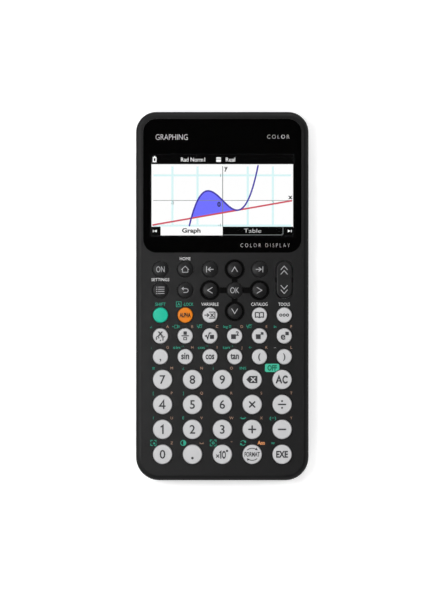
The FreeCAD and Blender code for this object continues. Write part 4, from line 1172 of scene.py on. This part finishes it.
def plot():
    """A plot of a curve and a straight line, with the area between them shaded."""
    grid = []
    for count in (-2, -1, 1, 2):
        grid += block(ORIGIN_X + count * UNIT, PLOT_MIDDLE - 0.6, 1.1, PLOT_TALL - 1.2)
    for count in (-1, 1):
        grid += block(0, ORIGIN_Y + count * UNIT, 2 * LCD_HALF - 2, 1.0)
    on_screen("screen_grid", grid, SCREEN_CYAN, 2)

    lower = plotted(straight, AREA_START, AREA_END, 36)
    upper = plotted(cubic, AREA_START, AREA_END, 36)
    area = []
    for first, second, third, fourth in zip(lower, lower[1:], upper[1:], upper):
        area += shape([first, second, third, fourth])
    on_screen("screen_area", joined(area), SCREEN_VIOLET, 3)

    axes = block(0, ORIGIN_Y, 2 * LCD_HALF - 2, 0.28)
    axes += block(ORIGIN_X, PLOT_MIDDLE - 0.5, 0.4, PLOT_TALL - 1.0)
    on_screen("screen_axes", axes, SCREEN_GREY, 4)
    marks = word("y", 2.2, ORIGIN_X + 1.7, PLOT_HIGH - 1.8, weight=0.04)
    marks += word("x", 2.2, LCD_HALF - 1.4, ORIGIN_Y + 1.9, weight=0.045)
    marks += word("0", 2.3, ORIGIN_X - 1.9, ORIGIN_Y - 2.0, weight=0.04)
    marks += word("1", 1.4, ORIGIN_X - 1.1, ORIGIN_Y + UNIT)
    marks += word("-1", 1.4, ORIGIN_X - 1.6, ORIGIN_Y - UNIT + 0.3)
    marks += word("-2", 1.4, ORIGIN_X - 2 * UNIT, ORIGIN_Y - 1.2)
    marks += word("2", 1.4, ORIGIN_X + 2 * UNIT, ORIGIN_Y - 1.2)
    on_screen("screen_marks", marks, SCREEN_INK, 5)

    top = (PLOT_HIGH - 0.8 - ORIGIN_Y) / UNIT
    curve = plotted(cubic, cubic_reaches(-1.0, -1.0, -2.0), cubic_reaches(top, 1.0, 2.0), 90)
    line = plotted(straight, LINE_START, LINE_END, 1)
    on_screen("screen_line", stroke(line, 0.85), SCREEN_RED, 6)
    on_screen("screen_curve", stroke(curve, 0.8), SCREEN_BLUE, 7)


def screen():
    """What the display shows: a status line, a plot and two tabs, the left one chosen."""
    on_screen("screen_dark", block(0, LCD_MIDDLE, 2 * LCD_HALF, LCD_TALL), SCREEN_BLACK, 0)
    tab_left, tab_right = -LCD_HALF + 4.7, ORIGIN_X
    tab_y = LCD_LOW + TABS_TALL / 2
    paper = block(0, PLOT_MIDDLE, 2 * LCD_HALF, PLOT_TALL)
    paper += block((tab_left + tab_right) / 2, tab_y, tab_right - tab_left, TABS_TALL)
    on_screen("screen_paper", paper, SCREEN_WHITE, 1)
    plot()

    line_y = (LCD_HIGH + PLOT_HIGH) / 2 - 0.1
    status = word("Rad Norm1", 2.1, -15.1, line_y, width=12.4) + word("Real", 2.1, 4.2, line_y, width=4.7)
    status += block(-1.9, line_y + 0.8, 2.4, 0.7) + block(-1.9, line_y - 0.55, 2.4, 1.3)
    status += outlined(-34.9, line_y - 0.05, 1.4, 2.1, 0.55) + block(-34.9, line_y + 1.55, 0.8, 0.5)
    status += word("Table", 2.1, 15.6, tab_y + 0.15, width=8.8, weight=-0.02)
    for side in (-1, 1):
        place = side * (LCD_HALF - 1.9)
        head = moved(shape([(-0.7, -0.7), (0.7, 0), (-0.7, 0.7)]), stretch=side)
        status += block(place + side * 1.0, tab_y, 0.35, 1.2) + moved(head, place - side * 0.1, tab_y)
    on_screen("screen_status", status, SCREEN_WHITE, 1)
    edge = [(tab_right + 0.2, LCD_LOW + 0.25), (LCD_HALF - 5.9, LCD_LOW + 0.25),
            (LCD_HALF - 5.2, LCD_LOW + 0.9), (LCD_HALF - 5.2, LCD_LOW + TABS_TALL - 0.3)]
    on_screen("screen_tab_edge", stroke(edge, 0.28), SCREEN_GREY, 1)
    tab_word = word("Graph", 2.1, -16.0, tab_y + 0.3, width=9.6, weight=0.035)
    on_screen("screen_tab_word", tab_word, SCREEN_INK, 2)


# ------------------------------ back prints

ARROW_DOWN = 13.5
RESET_X, RESET_Y = -12.0, 4.6


def on_back(name, art, node):
    """Mirrored artwork on the lowest face of a piece, which looks down."""
    printed(name, moved(art, stretch=-1), BODY_OF[node], EMBOSS_INK, BOXES[node][0].z,
            lift=-0.012, thick=0.010)


def back_legends():
    """An arrow on the battery door and a word beside the reset hole."""
    centre = middle("battery_cover") / MM
    door_arrow = moved(shape([(-2.6, 0), (2.6, 0), (0, -3.2)]), -centre.x, centre.y - ARROW_DOWN)
    on_back("door_arrow", door_arrow, "battery_cover")
    on_back("reset_word", word("RESET", 1.5, RESET_X, RESET_Y, width=6.0), "rear_cover")


# ------------------------------ studio

VIEW_TALL = 0.3052
CAMERA_AWAY = 5.0
CAMERA_X, CAMERA_Y = -0.15 * MM, 0.05 * MM
SENSOR = 36.0
FLOOR_RADIUS, FLOOR_SIDES = 4.0, 96


def add_camera():
    """Straight down on the face through a long lens, so that the view's height is VIEW_TALL."""
    lens = bpy.data.cameras.new("camera")
    lens.sensor_width = SENSOR
    lens.lens = SENSOR * CAMERA_AWAY / VIEW_TALL
    camera = new_object("camera", lens)
    camera.location = (CAMERA_X, CAMERA_Y, FACE_Z + CAMERA_AWAY)
    bpy.context.scene.camera = camera


def add_light(name, place, size, power, mirrored=True):
    """A soft square panel that faces the origin; one that isn't mirrored only brightens."""
    data = bpy.data.lights.new(name, "AREA")
    data.size = size
    data.energy = power
    light = new_object(name, data)
    light.location = place
    light.rotation_euler = (-Vector(place)).to_track_quat("-Z", "Y").to_euler()
    light.visible_glossy = mirrored


def add_floor():
    """White paper that glows a little, so that the shadow on it stays faint."""
    mesh = bpy.data.meshes.new("floor")
    points = [(*point, 0.0) for point in circle(0, 0, FLOOR_RADIUS, FLOOR_SIDES)]
    mesh.from_pydata(points, [], [tuple(range(FLOOR_SIDES))])
    material, tree, shader, place = new_material("floor_paper")
    speckle = specks(tree, place, 3.0, 2.0)
    paper = mix(tree, speckle, (0.93, 0.93, 0.93), (0.95, 0.95, 0.95))
    settle(shader, Base_Color=paper, Roughness=0.9, Specular_IOR_Level=0.1)
    settle(shader, Emission_Color=(1.0, 1.0, 1.0, 1.0), Emission_Strength=0.30)
    mesh.materials.append(material)
    new_object("floor", mesh)


def add_world():
    """A pale room round the sides that is dark overhead, so that the window stays black."""
    world = bpy.data.worlds.new("studio")
    world.use_nodes = True
    tree = world.node_tree
    place = tree.nodes.new("ShaderNodeTexCoord").outputs["Generated"]
    split = tree.nodes.new("ShaderNodeSeparateXYZ")
    settle(split, Vector=place)
    share = spread(tree, split.outputs["Z"], 0.0, 1.0, 0.25, 0.9)
    settle(tree.nodes["Background"], Color=mix(tree, share, (0.95, 0.95, 0.95), (0.02, 0.02, 0.02)))
    bpy.context.scene.world = world


def add_studio():
    """The camera, the paper, the room and five panels of light."""
    add_camera()
    add_floor()
    add_world()
    add_light("softbox_main", (-0.1675, -0.022, 0.583), 0.146, 1.06)
    add_light("panel_left", (-1.6, 0.6, 1.7), 1.4, 20.0)
    add_light("panel_right", (1.7, 0.2, 1.6), 1.4, 16.0, mirrored=False)
    add_light("panel_far", (0.2, 1.8, 1.6), 1.4, 16.0)
    add_light("panel_near", (-0.1, -1.9, 1.6), 1.4, 12.0, mirrored=False)
    bpy.context.scene.view_settings.view_transform = "Standard"


dress_nodes()
add_key_mat()
key_legends()
rocker_legends()
face_legends()
off_badge()
recess_inlay()
window_print()
screen()
back_legends()
add_studio()
